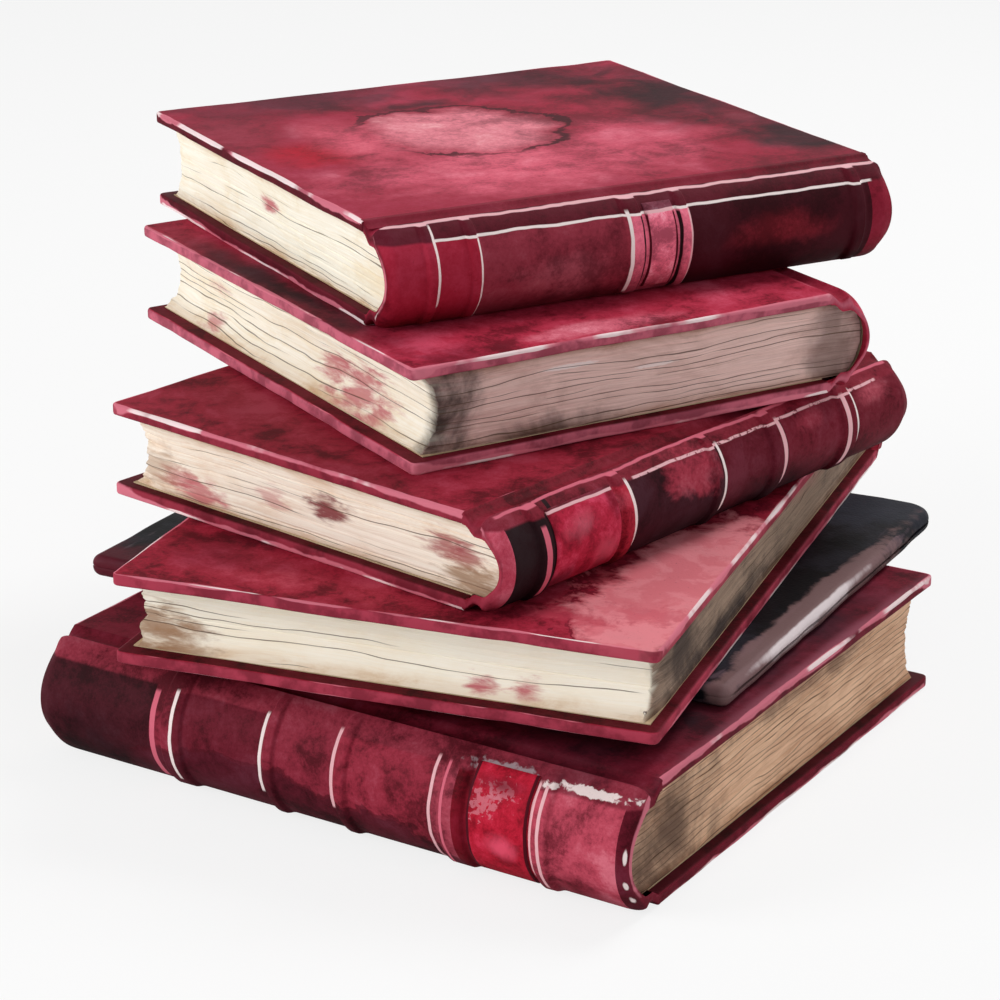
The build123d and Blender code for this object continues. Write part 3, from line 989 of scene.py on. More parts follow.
@dataclass
class Hardback:
    """A leather-covered book: sizes as on the real one, in millimetres."""

    name: str
    height: float
    width: float
    thickness: float
    place: Place
    leather: LeatherFinish
    pages: PageFinish
    bands: tuple[tuple[float, float], ...] = ()
    label: tuple[float, float] | None = None
    label_finish: LeatherFinish | None = None
    seed: float = 0.0
    leather_wall: float = 0.9
    cover_wall: float = 4.3
    joint_width: float = 8.0
    joint_depth: float = 2.0
    shoulder_drop: float = 0.5
    spine_round: float = 0.3
    head_square: float = 4.5
    fore_square: float = 6.5
    fore_hollow: float = 7.0
    edge_round: float = 1.1
    end_round: float = 0.75
    corner_round: float = 3.0
    cap_wall: float = 1.9
    band_rise: float = 1.25
    flyleaf_wall: float = 0.4
    head_curl: float = 1.3
    shoulder_turn: float = 7.0
    shoulder_sink: float = 0.45
    warp: float = 0.4
    ragged: float = 0.8
    uneven_leaves: float = 0.6
    torn: float = 0.5
    level_pitch: float = 0.42
    station_pitch: float = 4.2

    @property
    def spine_edge(self) -> float:
        """Where the rounded spine meets the shoulders."""
        return -self.width / 2

    @property
    def joint_edge(self) -> float:
        """Where the boards begin."""
        return self.spine_edge + self.joint_width

    @property
    def mid_joint(self) -> float:
        """Middle of the joint between spine and board."""
        return self.spine_edge + self.joint_width / 2

    @property
    def middle(self) -> float:
        """Mid height of the book."""
        return self.thickness / 2

    @property
    def rise(self) -> float:
        """Half the height of the rounded spine."""
        return self.middle - self.shoulder_drop

    @property
    def spine_radius(self) -> float:
        """Radius of the spine's outer face."""
        bulge = self.spine_round * self.thickness
        return (self.rise**2 + bulge**2) / (2 * bulge)

    @property
    def spine_centre(self) -> float:
        """Centre of the spine's arc, across the book."""
        return self.spine_edge - self.spine_round * self.thickness + self.spine_radius

    @property
    def page_radius(self) -> float:
        """Radius of the rounded back of the pages."""
        return self.spine_radius - BACK_WALL

    def on_arc(self, radius: float, rise: float) -> tuple[float, float]:
        """Point of an arc round the spine's centre at a rise above mid height."""
        return (self.spine_centre - sqrt(radius**2 - rise**2), self.middle + rise)

    def outer_path(self, section: Section, upper: bool, gap: float = 0.0) -> None:
        """Draw the outer skin from the upper joint round the spine to the lower board.

        Args:
            section: The section being drawn.
            upper: Whether the upper board is part of it.
            gap: How far the skin stops short of the upper board.
        """
        top, wall = self.thickness, self.leather_wall
        high, low = self.on_arc(self.spine_radius, self.rise), self.on_arc(self.spine_radius, -self.rise)
        if upper:
            self.face_line(section, top, inward=True)
        start = (self.joint_edge - gap, top - gap)
        section.arc(start, (self.mid_joint, top - self.joint_depth), high, 9, Zone.GROOVE, wall)
        section.arc(high, (self.spine_centre - self.spine_radius, self.middle), low, 34, Zone.SPINE, wall)
        section.arc(low, (self.mid_joint, self.joint_depth), (self.joint_edge, 0.0), 9, Zone.GROOVE, wall)
        self.face_line(section, 0.0, inward=False)

    def face_line(self, section: Section, level: float, inward: bool) -> None:
        """Draw a board's outer face, with close points near its rims.

        Args:
            section: The section being drawn.
            level: Level of the face.
            inward: Whether it is drawn from the fore-edge to the joint.
        """
        side, inset, joint = self.width / 2 - self.edge_round, 4.0, self.joint_edge
        turns = [(side, side - inset, 5), (side - inset, joint + 3.0, 24), (joint + 3.0, joint, 4)]
        if not inward:
            turns = [(end, start, count) for start, end, count in reversed(turns)]
        for start, end, count in turns:
            section.line((start, level), (end, level), count, Zone.FACE, self.cover_wall)

    def board_edge(self, section: Section, low: float, high: float) -> None:
        """Draw the rounded fore-edge of a board, upward or downward.

        Args:
            section: The section being drawn.
            low: Level at which the edge starts.
            high: Level at which it ends.
        """
        side, wall = self.width / 2, self.cover_wall
        way = 1.0 if high > low else -1.0
        turn, slant = self.edge_round, self.edge_round * (1 - sqrt(0.5))
        first, last = (side, low + way * turn), (side, high - way * turn)
        section.arc((side - turn, low), (side - slant, low + way * slant), first, 4, Zone.EDGE, wall)
        section.line(first, last, 2, Zone.EDGE, wall)
        section.arc(last, (side - slant, high - way * slant), (side - turn, high), 4, Zone.EDGE, wall)

    def inner_path(self, section: Section, gap: float = 0.0, upper: bool = True) -> None:
        """Draw the inner skin from the lower board round the spine's hollow to the upper one.

        Args:
            section: The section being drawn.
            gap: How far the skin stops short of the upper board.
            upper: Whether the upper board is part of it.
        """
        top, wall, cover = self.thickness, self.leather_wall, self.cover_wall
        side, joint = self.width / 2 - self.edge_round, self.joint_edge
        radius, rise = self.spine_radius - wall, self.rise - wall
        low, high = self.on_arc(radius, -rise), self.on_arc(radius, rise)
        floor = self.joint_depth + wall
        section.line((side, cover), (joint, cover), 14, Zone.INNER, cover)
        section.line((joint, cover), (joint, wall), 1, Zone.INNER, wall)
        section.arc((joint, wall), (self.mid_joint, floor), low, 6, Zone.GUTTER, wall)
        section.arc(low, (self.spine_centre - radius, self.middle), high, 24, Zone.CAP, wall)
        section.arc(high, (self.mid_joint, top - floor), (joint - gap, top - wall - gap), 6, Zone.GUTTER, wall)
        if upper:
            section.line((joint, top - wall), (joint, top - cover), 1, Zone.GUTTER, wall)
            section.line((joint, top - cover), (side, top - cover), 14, Zone.INNER, cover)

    def closed_section(self) -> list[RingPoint]:
        """Section of a whole cover, both boards and the spine."""
        section = Section()
        self.outer_path(section, upper=True)
        self.board_edge(section, 0.0, self.cover_wall)
        self.inner_path(section)
        self.board_edge(section, self.thickness - self.cover_wall, self.thickness)
        return section.finish()

    def stations(self) -> list[float]:
        """Stations along the book, close together at the ends and the bands."""
        half = self.height / 2
        near = [0.0, 0.12, 0.35, 0.7, 1.15, 1.8, 2.5, 3.2, 4.2, 5.0]
        found = {round(sign * (half - step), 3) for step in near for sign in (-1, 1)}
        found.update(round(station, 3) for station in even_steps(-half + 7, half - 7, self.station_pitch))
        for station, width in self.bands:
            steps = [width / 2 + step for step in (2.2, 1.0, 0.35, 0.0, -0.4, -0.9)]
            found.update(round(station + step, 3) for step in (*steps, 0.0, *(-step for step in steps)))
        ordered = sorted(found)
        kept = [ordered[0]]
        for station in ordered[1:]:
            if station - kept[-1] > 0.1:
                kept.append(station)
        kept[-1] = half
        return kept

    def band_height(self, along: float) -> float:
        """Height of the raised bands above the spine at a station."""
        height = 0.0
        for station, width in self.bands:
            apart = abs(along - station)
            height = max(height, self.band_rise * ease((width / 2 + 0.35 - apart) / 1.25))
            height -= 0.22 * ease(1 - abs(apart - width / 2 - 1.3) / 1.3)
        return height

    def shape_point(self, along: float, point: RingPoint) -> Spot:
        """Place one point of the cover and say how worn its leather is.

        Args:
            along: Station along the book.
            point: The section's point.

        Returns:
            The point's place and its rim, spine, inner and board edge shares.
        """
        half = self.height / 2
        depth = half - abs(along)
        across, up = point.across, point.up
        limit = min(self.edge_round, 0.42 * point.wall)
        if point.zone == Zone.GROOVE:
            limit += (self.edge_round - limit) * ease(1 - (self.joint_edge - point.across) / 2.5)
        inset = self.end_round * bend(limit, depth)
        across -= point.out.x * inset
        up -= point.out.y * inset
        rim, spine, inner, edge = 0.0, 0.0, 0.0, 0.0
        if point.zone in (Zone.FACE, Zone.EDGE, Zone.INNER):
            reach = self.width / 2 - point.across
            across -= bend(self.corner_round, depth) * ease(1 - reach / 24)
            fine = waver(along, point.across, self.seed + 5, 5)
            nick = self.ragged * (waver(along, point.across, self.seed, 19) + 0.3 * fine)
            across -= max(0.0, nick) * ease(1 - reach / 4)
            along -= (1.0 if along > 0 else -1.0) * max(0.0, -nick) * ease(1 - depth / 4)
            up += self.board_warp(along, point.across, depth, reach)
            near = min(depth, reach)
            edge = max(0.0, 1 - depth / 0.9, 1.0 if point.zone == Zone.EDGE and reach < 0.5 * self.edge_round else 0.0)
            # Rim shares of faces and edges, also along the joint's ridge and the inner rim of an edge, lighten to
            # rubbed leather and painted highlights
            if point.zone == Zone.FACE:
                rim = max(1 - (near - 0.8) / 1.6, 1 - (point.across - self.joint_edge) / 1.4)
            elif point.zone == Zone.EDGE:
                outer_face = min(abs(self.thickness - point.up), abs(point.up))
                rim = max(1 - outer_face / 1.4, 0.8 * (1 - (self.cover_wall - outer_face) / 0.9))
            else:
                rim = 0.25 * (1 - depth / 2)
            corner = hypot(max(0.0, 8 - depth), max(0.0, 8 - reach))
            rim = max(rim, (corner - 7.5) / 5)
        if point.zone in (Zone.SPINE, Zone.GROOVE):
            share = abs(point.up - self.middle) / self.rise
            fade = ease((1.0 - share) / 0.12) if point.zone == Zone.SPINE else 0.0
            spine = 1.0 if point.zone == Zone.SPINE else 0.0
            # A groove's inner share darkens it as painted shade
            inner = 0.0 if point.zone == Zone.SPINE else 0.35
            lift = self.band_height(along) * fade + 0.12 * waver(along, point.up, self.seed + 2, 9) * fade
            lift -= self.head_curl * ease(1 - depth / 5) * fade
            across += point.out.x * lift
            up += point.out.y * lift
            end_rim = 0.8 if point.zone == Zone.SPINE else 0.45
            rim = max(0.4 * self.band_height(along) / self.band_rise * fade, end_rim * (1 - depth / 1.4))
            edge = max(0.0, 1 - depth / 0.6)
        if point.zone in (Zone.CAP, Zone.GUTTER):
            curl = ease((self.head_square - 0.3 - depth) / 1.6)
            if point.zone == Zone.CAP:
                across += point.out.x * self.cap_wall * curl
                up += point.out.y * self.cap_wall * curl
            else:
                lean = sqrt(1 - (self.rise / self.spine_radius) ** 2)
                across += lean * self.cap_wall * curl * ease(1 - (point.across - self.spine_edge) / 4)
            floor = self.cover_wall - 0.15
            up += (min(max(up, floor), self.thickness - floor) - up) * curl
            inner = 1.0 - curl
            rim = (0.7 if point.zone == Zone.CAP else 0.4) * curl * (1 - depth / 1.2)
        if point.zone in (Zone.SPINE, Zone.GROOVE, Zone.CAP, Zone.GUTTER):
            drop = self.shoulder_sink * bend(self.shoulder_turn, depth)
            drop *= ease((self.joint_edge - 0.6 - point.across) / (0.6 * self.joint_width))
            up -= drop * min(1.0, max(-1.0, 1.4 * (point.up - self.middle) / self.rise))
        if point.zone == Zone.INNER:
            inner = 1.0 if depth > 0.3 else 0.3
        return Vector((along, across, up)), (min(max(rim, 0.0), 1.0), spine, inner, min(edge, 1.0))

    def board_warp(self, along: float, across: float, depth: float, reach: float) -> float:
        """How far old age has lifted or dropped a board at a place.

        Args:
            along: Station along the book.
            across: Place across it.
            depth: Distance to the nearer end.
            reach: Distance to the fore-edge.

        Returns:
            The change of level.
        """
        free = ease(1 - min(depth, reach) / 45) * ease((across - self.joint_edge) / 30)
        return self.warp * free * waver(along, across, self.seed + 11, 38)

    def swept(self, ring: list[RingPoint]) -> bmesh.types.BMesh:
        """Sweep a section along the book, shaping every point."""
        stations = self.stations()
        return wrapped_mesh(
            len(stations), len(ring), lambda row, column: self.shape_point(stations[row], ring[column]),
        )

    def build_cover(self, effects: Effects) -> None:
        """Build the one-piece leather cover.

        Args:
            effects: Shared effects.
        """
        piece = new_piece(
            f"{self.name}_cover", self.swept(self.closed_section()), self.place.matrix(),
            self.leather.material(effects), [f"{self.name}_leather_cover"],
        )
        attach(piece, "stack")

    def leaf_relief(self, up: float) -> float:
        """How far the leaves at a level stand in from the block's outline."""
        low = self.cover_wall + self.flyleaf_wall
        pitch = 3.4  # thickness of one gathering
        phase = (up - low + 0.5 * sin(up * 0.7 + self.seed)) / pitch
        groove = ease(1 - abs(phase - round(phase)) * pitch / 0.45)
        gathering = noise.noise(Vector((int(phase) * 3.7 + 0.5, self.seed, 0.5)))
        return 0.35 * groove + 0.16 * waver(up * 7, 0.0, self.seed + 9, 3.0) + self.uneven_leaves * max(0.0, gathering)

    def build_pages(self, effects: Effects) -> None:
        """Build the block of leaves in many thin levels.

        Args:
            effects: Shared effects.
        """
        low = self.cover_wall + self.flyleaf_wall
        high = self.thickness - low
        levels = even_steps(low, high, self.level_pitch)
        half = self.height / 2 - self.head_square
        fore = self.width / 2 - self.fore_square
        inner_rise = self.middle - self.joint_depth - self.leather_wall - 0.3
        hollow_radius = ((high - self.middle) ** 2 + self.fore_hollow**2) / (2 * self.fore_hollow)
        long_steps, short_steps = 44, 40
        columns = 2 * (long_steps + short_steps)

        def spot(row: int, column: int) -> Spot:
            """Place one point of the block."""
            up = levels[row]
            rise = up - self.middle
            front = fore - self.fore_hollow + hollow_radius - sqrt(max(0.0, hollow_radius**2 - rise**2))
            if abs(rise) <= inner_rise:
                back = self.on_arc(self.page_radius, rise)[0]
            else:
                share = (abs(rise) - inner_rise) / max(0.01, high - self.middle - inner_rise)
                back = self.spine_edge + self.joint_width * (0.5 + 0.5 * share)
            relief = self.leaf_relief(up)
            if column < long_steps:
                share, side = column / long_steps, Side.FORE
                along, across = -half + 2 * half * share, front
            elif column < long_steps + short_steps:
                share, side = (column - long_steps) / short_steps, Side.END
                along, across = half, front + (back - front) * share
            elif column < 2 * long_steps + short_steps:
                share, side = (column - long_steps - short_steps) / long_steps, Side.BACK
                along, across = half - 2 * half * share, back
            else:
                share, side = (column - 2 * long_steps - short_steps) / short_steps, Side.END
                along, across = -half, back + (front - back) * share
            ragged = 0.22 * waver(along, across, up * 0.35 + self.seed, 11)
            pull = max(0.0, relief + ragged)
            corner = min(share, 1 - share) * (2 * half if side in (Side.FORE, Side.BACK) else front - back)
            if side in (Side.FORE, Side.BACK):
                across += pull if side == Side.BACK else -pull
                along *= 1 - 0.8 * max(0.0, 1 - corner / 1.2) / half
            else:
                along -= pull * (1 if along > 0 else -1)
            wave = 0.4 + waver(up, 0.0, self.seed + 21, 4.0)
            worn = self.torn * max(0.0, wave + 0.4 * waver(up, 0.0, self.seed + 3, 1.4))
            worn *= ease(1 - (front - across) / 14) * ease(1 - (half - abs(along)) / 3)
            along -= worn if along > 0 else -worn
            return Vector((along, across, up)), NO_WEAR

        piece = new_piece(
            f"{self.name}_pages", wrapped_mesh(len(levels), columns, spot, UPRIGHT), self.place.matrix(),
            self.pages.material(effects),
            [f"{self.name}_text_block"],
        )
        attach(piece, "stack")

    def build_label(self, effects: Effects) -> None:
        """Build the pasted title panel, left bare.

        Args:
            effects: Shared effects.
        """
        if self.label is None or self.label_finish is None:
            return
        start, end = self.label
        rise, wall = self.middle - 3.5, 0.4
        inner, outer = self.spine_radius + 0.02, self.spine_radius + 0.5
        outer_high, outer_low = self.on_arc(outer, rise), self.on_arc(outer, -rise)
        inner_high, inner_low = self.on_arc(inner, rise), self.on_arc(inner, -rise)
        section = Section()
        section.arc(outer_high, (self.spine_centre - outer, self.middle), outer_low, 30, Zone.SPINE, wall)
        section.line(outer_low, inner_low, 1, Zone.EDGE, wall)
        section.arc(inner_low, (self.spine_centre - inner, self.middle), inner_high, 30, Zone.INNER, wall)
        section.line(inner_high, outer_high, 1, Zone.EDGE, wall)
        ring = section.finish()
        close = {start, start + 0.12, start + 0.4, end - 0.4, end - 0.12, end}
        stations = sorted({*close, *even_steps(start + 2, end - 2, 3.0)})

        def spot(row: int, column: int) -> Spot:
            """Place one point of the label."""
            along, point = stations[row], ring[column]
            depth = min(along - start, end - along)
            thin = 0.3 * ease(1 - depth / 0.4) if point.zone == Zone.SPINE else 0.0
            edge = 1 - abs(point.up - self.middle) / rise
            rim = max(0.0, 1 - depth / 1.2, 1 - edge * rise / 1.2)
            lift = -thin + 0.06 * waver(along, point.up, self.seed + 4, 6)
            place = Vector((along, point.across + point.out.x * lift, point.up + point.out.y * lift))
            return place, (rim, 1.0, 0.0, 0.0)

        piece = new_piece(
            f"{self.name}_label", wrapped_mesh(len(stations), len(ring), spot), self.place.matrix(),
            self.label_finish.material(effects), [f"{self.name}_title_label"],
        )
        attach(piece, "stack")

    def build(self, effects: Effects) -> None:
        """Build every dressed piece of the book."""
        self.build_cover(effects)
        self.build_pages(effects)
        self.build_label(effects)


@dataclass
class OpeningBook(Hardback):
    """The top book, whose upper cover turns on its joint."""

    turn_in: float = 13.0
    gap: float = 0.3
    recess: float = 0.38

    def fixed_section(self) -> list[RingPoint]:
        """Section of the lower board and the spine."""
        section = Section()
        self.outer_path(section, upper=False, gap=self.gap)
        self.board_edge(section, 0.0, self.cover_wall)
        self.inner_path(section, gap=self.gap, upper=False)
        section.line(
            (self.joint_edge - self.gap, self.thickness - self.leather_wall - self.gap),
            (self.joint_edge - self.gap, self.thickness - self.gap), 1, Zone.GUTTER, self.leather_wall,
        )
        return section.finish()

    def moving_section(self) -> list[RingPoint]:
        """Section of the upper board, with a shallow recess for its pastedown."""
        top, under = self.thickness, self.thickness - self.cover_wall
        side, joint, paste = self.width / 2 - self.edge_round, self.joint_edge, self.width / 2 - self.turn_in
        runs = (
            (side - 4.0, top, 5, Zone.FACE), (joint + 3.0, top, 24, Zone.FACE), (joint + 0.5, top, 4, Zone.FACE),
            (joint, top - 0.5, 1, Zone.FACE), (joint, under, 2, Zone.INNER), (paste, under, 16, Zone.RECESS),
            (paste + 0.15, under, 1, Zone.RECESS), (side, under, 4, Zone.INNER),
        )
        section, start = Section(), (side, top)
        for across, up, count, zone in runs:
            section.line(start, (across, up), count, zone, self.cover_wall)
            start = (across, up)
        self.board_edge(section, under, top)
        return section.finish()

    def shape_point(self, along: float, point: RingPoint) -> Spot:
        """Place a point, sinking the inside of the cover where the pastedown lies.

        Args:
            along: Station along the book.
            point: The section's point.

        Returns:
            The point's place and its rim, spine, inner and board edge shares.
        """
        zone = point.zone
        if zone == Zone.RECESS:
            point = RingPoint(point.across, point.up, Zone.INNER, point.wall, point.out)
        place, shares = super().shape_point(along, point)
        if zone == Zone.RECESS and abs(along) < self.height / 2 - self.turn_in + 0.05:
            place.z += self.recess
        return place, shares

    def stations(self) -> list[float]:
        """Stations along the book, with two close pairs at the pastedown's ends."""
        edge = self.height / 2 - self.turn_in
        found = super().stations()
        found = [station for station in found if abs(abs(station) - edge) > 0.6]
        found += [-edge - 0.1, -edge, edge, edge + 0.1]
        return sorted(found)

    def build_cover(self, effects: Effects) -> None:
        """Build the fixed leather, the moving cover and the leather between them.

        Args:
            effects: Shared effects.
        """
        finish = self.leather.material(effects)
        matrix = self.place.matrix()
        fixed = new_piece(f"{self.name}_cover", self.swept(self.fixed_section()), matrix, finish,
                          [f"{self.name}_leather_cover"])
        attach(fixed, "stack")
        moving = new_piece(f"{self.name}_upper_cover", self.swept(self.moving_section()), matrix, finish,
                           [f"{self.name}_upper_cover_leather"])
        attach(moving, "top_book_upper_cover")
        self.build_joint_leather(finish)

    def build_joint_leather(self, finish: bpy.types.Material) -> None:
        """Build the thin strip of skin at the joint.

        Args:
            finish: The book's leather.
        """
        top, half = self.thickness, self.height / 2 - 0.6
        high = self.on_arc(self.spine_radius, self.rise)
        section = Section()
        section.arc((self.joint_edge, top), (self.mid_joint, top - self.joint_depth), high, 12, Zone.GROOVE, 0.3)
        path = [point for point in section.points if point.across > self.mid_joint - 0.5]
        path = [RingPoint(self.joint_edge + step, top, Zone.FACE, 0.3) for step in (2.6, 1.6, 0.8)] + path
        section.points = [RingPoint(p.across, p.up + 0.05, Zone.GROOVE, 0.3) for p in path]
        section.points += [RingPoint(p.across, p.up - 0.32, Zone.INNER, 0.3) for p in reversed(path)]
        ring = section.finish()
        stations = even_steps(-half, half, 4.0)

        def spot(row: int, column: int) -> Spot:
            """Place one point of the strip."""
            return Vector((stations[row], ring[column].across, ring[column].up)), (0.1, 0.0, 0.5, 0.0)

        strip = new_piece(f"{self.name}_joint_leather", wrapped_mesh(len(stations), len(ring), spot),
                          self.place.matrix(), finish, [])
        start = self.place.matrix() @ Vector((0.0, self.joint_edge - 0.6, top))
        end = self.place.matrix() @ Vector((0.0, self.joint_edge + 0.6, top))
        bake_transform(strip)


@dataclass
class LimpBook:
    """The thin black book: a soft cover with rolled edges round its pages."""

    name: str
    height: float
    width: float
    thickness: float
    place: Place
    leather: LimpFinish
    seed: float = 3.0
    roll: float = 3.6
    lip_gap: float = 1.4
    groove_depth: float = 5.3
    fore_corner: float = 12.0
    spine_corner: float = 4.0

    def outline(self, share: float) -> tuple[Vector, Vector]:
        """Point of the plan outline and its outward direction.

        Args:
            share: Way round the outline, from 0 to 1, starting at the tail corner of the spine.

        Returns:
            The point and the direction.
        """
        half, side = self.height / 2, self.width / 2
        corners = (
            (Vector((half, -side)), self.spine_corner, -90.0),
            (Vector((half, side)), self.fore_corner, 0.0),
            (Vector((-half, side)), self.fore_corner, 90.0),
            (Vector((-half, -side)), self.spine_corner, 180.0),
        )
        leg, way = int(share * 4) % 4, share * 4 - int(share * 4)
        corner, turn, start = corners[leg]
        after = corners[(leg + 1) % 4]
        inward = Vector((-1.0 if corner.x > 0 else 1.0, -1.0 if corner.y > 0 else 1.0))
        centre = corner + inward * turn
        if way < 0.3:
            angle = radians(start + 90 * way / 0.3)
            out = Vector((cos(angle), sin(angle)))
            return centre + out * turn, out
        angle = radians(start + 90)
        out = Vector((cos(angle), sin(angle)))
        first = centre + out * turn
        inward = Vector((-1.0 if after[0].x > 0 else 1.0, -1.0 if after[0].y > 0 else 1.0))
        last = after[0] + inward * after[1] + out * after[1]
        return first.lerp(last, (way - 0.3) / 0.7), out

    def rings(self) -> list[tuple[float, float, float, float]]:
        """Rings from the middle of the top, over the rolled edge and the lips, to the bottom.

        Returns:
            Inset from the outline, level, share of the groove, and share of wear and painted sheen of each ring.
        """
        top, roll, middle, lip = self.thickness, self.roll, self.thickness / 2, self.lip_gap / 2
        found = [(60.0, top, 0.0, 0.0), (14.0, top, 0.0, 0.0), (9.0, top, 0.0, 0.35), (6.0, top, 0.0, 0.7)]
        # On both rolls the wear share peaks halfway round: rubbed leather and painted sheen
        for step in range(9):
            angle = radians(90 * step / 8)
            found.append((roll - roll * sin(angle), top - roll + roll * cos(angle), 0.0, 0.3 + 0.6 * sin(2 * angle)))
        found += [(0.35, middle + lip, 0.2, 0.5), (1.4, middle + lip - 0.1, 0.6, 0.0), (0.0, middle + 0.3, 1.0, 0.0)]
        found += [(0.0, middle - 0.3, 1.0, 0.0), (1.4, middle - lip + 0.1, 0.6, 0.0), (0.35, middle - lip, 0.2, 0.5)]
        for step in range(8, -1, -1):
            angle = radians(90 * step / 8)
            found.append((roll - roll * sin(angle), roll - roll * cos(angle), 0.0, 0.3 + 0.4 * sin(2 * angle)))
        found += [(9.0, 0.0, 0.0, 0.0), (14.0, 0.0, 0.0, 0.0), (60.0, 0.0, 0.0, 0.0)]
        return found

    def build(self, effects: Effects) -> None:
        """Build the soft cover.

        Args:
            effects: Shared effects.
        """
        rings, columns = self.rings(), 240

        def spot(row: int, column: int) -> Spot:
            """Place one point of the cover."""
            inset, level, groove, wear = rings[row]
            point, out = self.outline(column / columns)
            open_side = ease((point.y + self.width / 2 - 4) / 10)
            if groove >= 1.0:
                inset = 0.6 + self.groove_depth * open_side - 0.6 * open_side
                level = self.thickness / 2 + (level - self.thickness / 2) * (0.2 + 0.8 * open_side)
            elif groove > 0:
                inset = inset * open_side + 0.1
            sway = 0.9 * waver(point.x, point.y, self.seed, 34) + 0.4 * waver(point.x, point.y, self.seed + 7, 12)
            edge = ease(1 - inset / 12)
            point = point * (1 - 2 * inset / self.width) if inset > 4 else point - out * inset
            point -= out * max(-0.4, sway) * edge
            lift = 0.0
            if 0.0 < level < self.thickness:
                lift = 0.5 * waver(point.x, point.y, self.seed + 3, 26) * edge
            return Vector((point.x, point.y, level + lift)), (wear, 0.0, 1.0 if groove > 0.5 else 0.0, 0.0)

        piece = new_piece(
            f"{self.name}_cover", wrapped_mesh(len(rings), columns, spot, UPRIGHT), self.place.matrix(),
            self.leather.material(effects), [f"{self.name}_leather_cover"],
        )
        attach(piece, "stack")


# ---------------------------------------------------------------- the stack

CRIMSON = paint(160, 32, 54)
BRIGHT = paint(196, 32, 58)
BURGUNDY = paint(112, 20, 38)
MAROON = paint(78, 16, 28)
NEAR_BLACK = paint(36, 14, 19)
ROSE = paint(190, 66, 88)
PINK = paint(216, 106, 126)
PALE_PINK = paint(238, 184, 190)
WHITE_LINE = paint(248, 232, 230)
CREAM = paint(254, 249, 235)
CREAM_SHADE = paint(236, 217, 182)
RED_STAIN = paint(190, 92, 102)
BROWN_STAIN = paint(150, 108, 74)
DARK_LEAF = paint(66, 46, 40)
LOW_LEAF = 4.7  # level of the lowest leaf in every book


def blot(x: float, y: float, z: float, reach: float, tone: Colour, strength: float = 0.6) -> StainAndLight:
    """A soft patchy blot on leaf edges, seen from one side."""
    return StainAndLight((x, y, z), (1.3 * reach, 1.3 * reach, 0.65 * reach), tone, tone, strength,
                 rim_strength=0.0, raggedness=0.8, softness=0.8, fineness=0.07, layers=5.0)


def wash(x: float, y: float, z: float, reach: Sequence[float], tone: Colour, strength: float = 0.8,
         raggedness: float = 0.7) -> StainAndLight:
    """A broad soft field of another tone: mostly dye, and in places painted shade, painted shadow and painted sheen."""
    return StainAndLight((x, y, z), tuple(reach), tone, tone, strength,
                 rim_strength=0.0, raggedness=raggedness, softness=0.9, fineness=0.04)


def title_finish(name: str, place: Place, base: Colour, seed: float, stains_and_light: tuple[StainAndLight, ...] = (),
                 strip: Colour | None = None, strip_level: float = 30.0,
                 lines: tuple[ToolLine, ...] = ()) -> LeatherFinish:
    """Leather of a bare title panel, which is thin and shows little rubbing and painted highlight at its rims.

    Args:
        name: The material's name.
        place: Where the book lies.
        base: The panel's colour.
        seed: Seed of its mottling.
        stains_and_light: Stains on it.
        strip: Colour above the strip's level, if it differs.
        strip_level: Where that colour starts.
        lines: Lines tooled on it.

    Returns:
        The panel's leather.
    """
    reach = 200.0  # past any book's ends, so that one colour fills the panel
    return LeatherFinish(
        name, place, base, base, strip=strip, strip_level=strip_level, panels=((-reach, base),), lines=lines,
        stains_and_light=stains_and_light, mottle_size=24.0, patchiness=1.4, shade_share=0.6, light_share=0.6, painted_under_shade=0.35,
        rim_amount=-0.25, white_amount=-0.6, seed=seed, half_height=reach,
    )


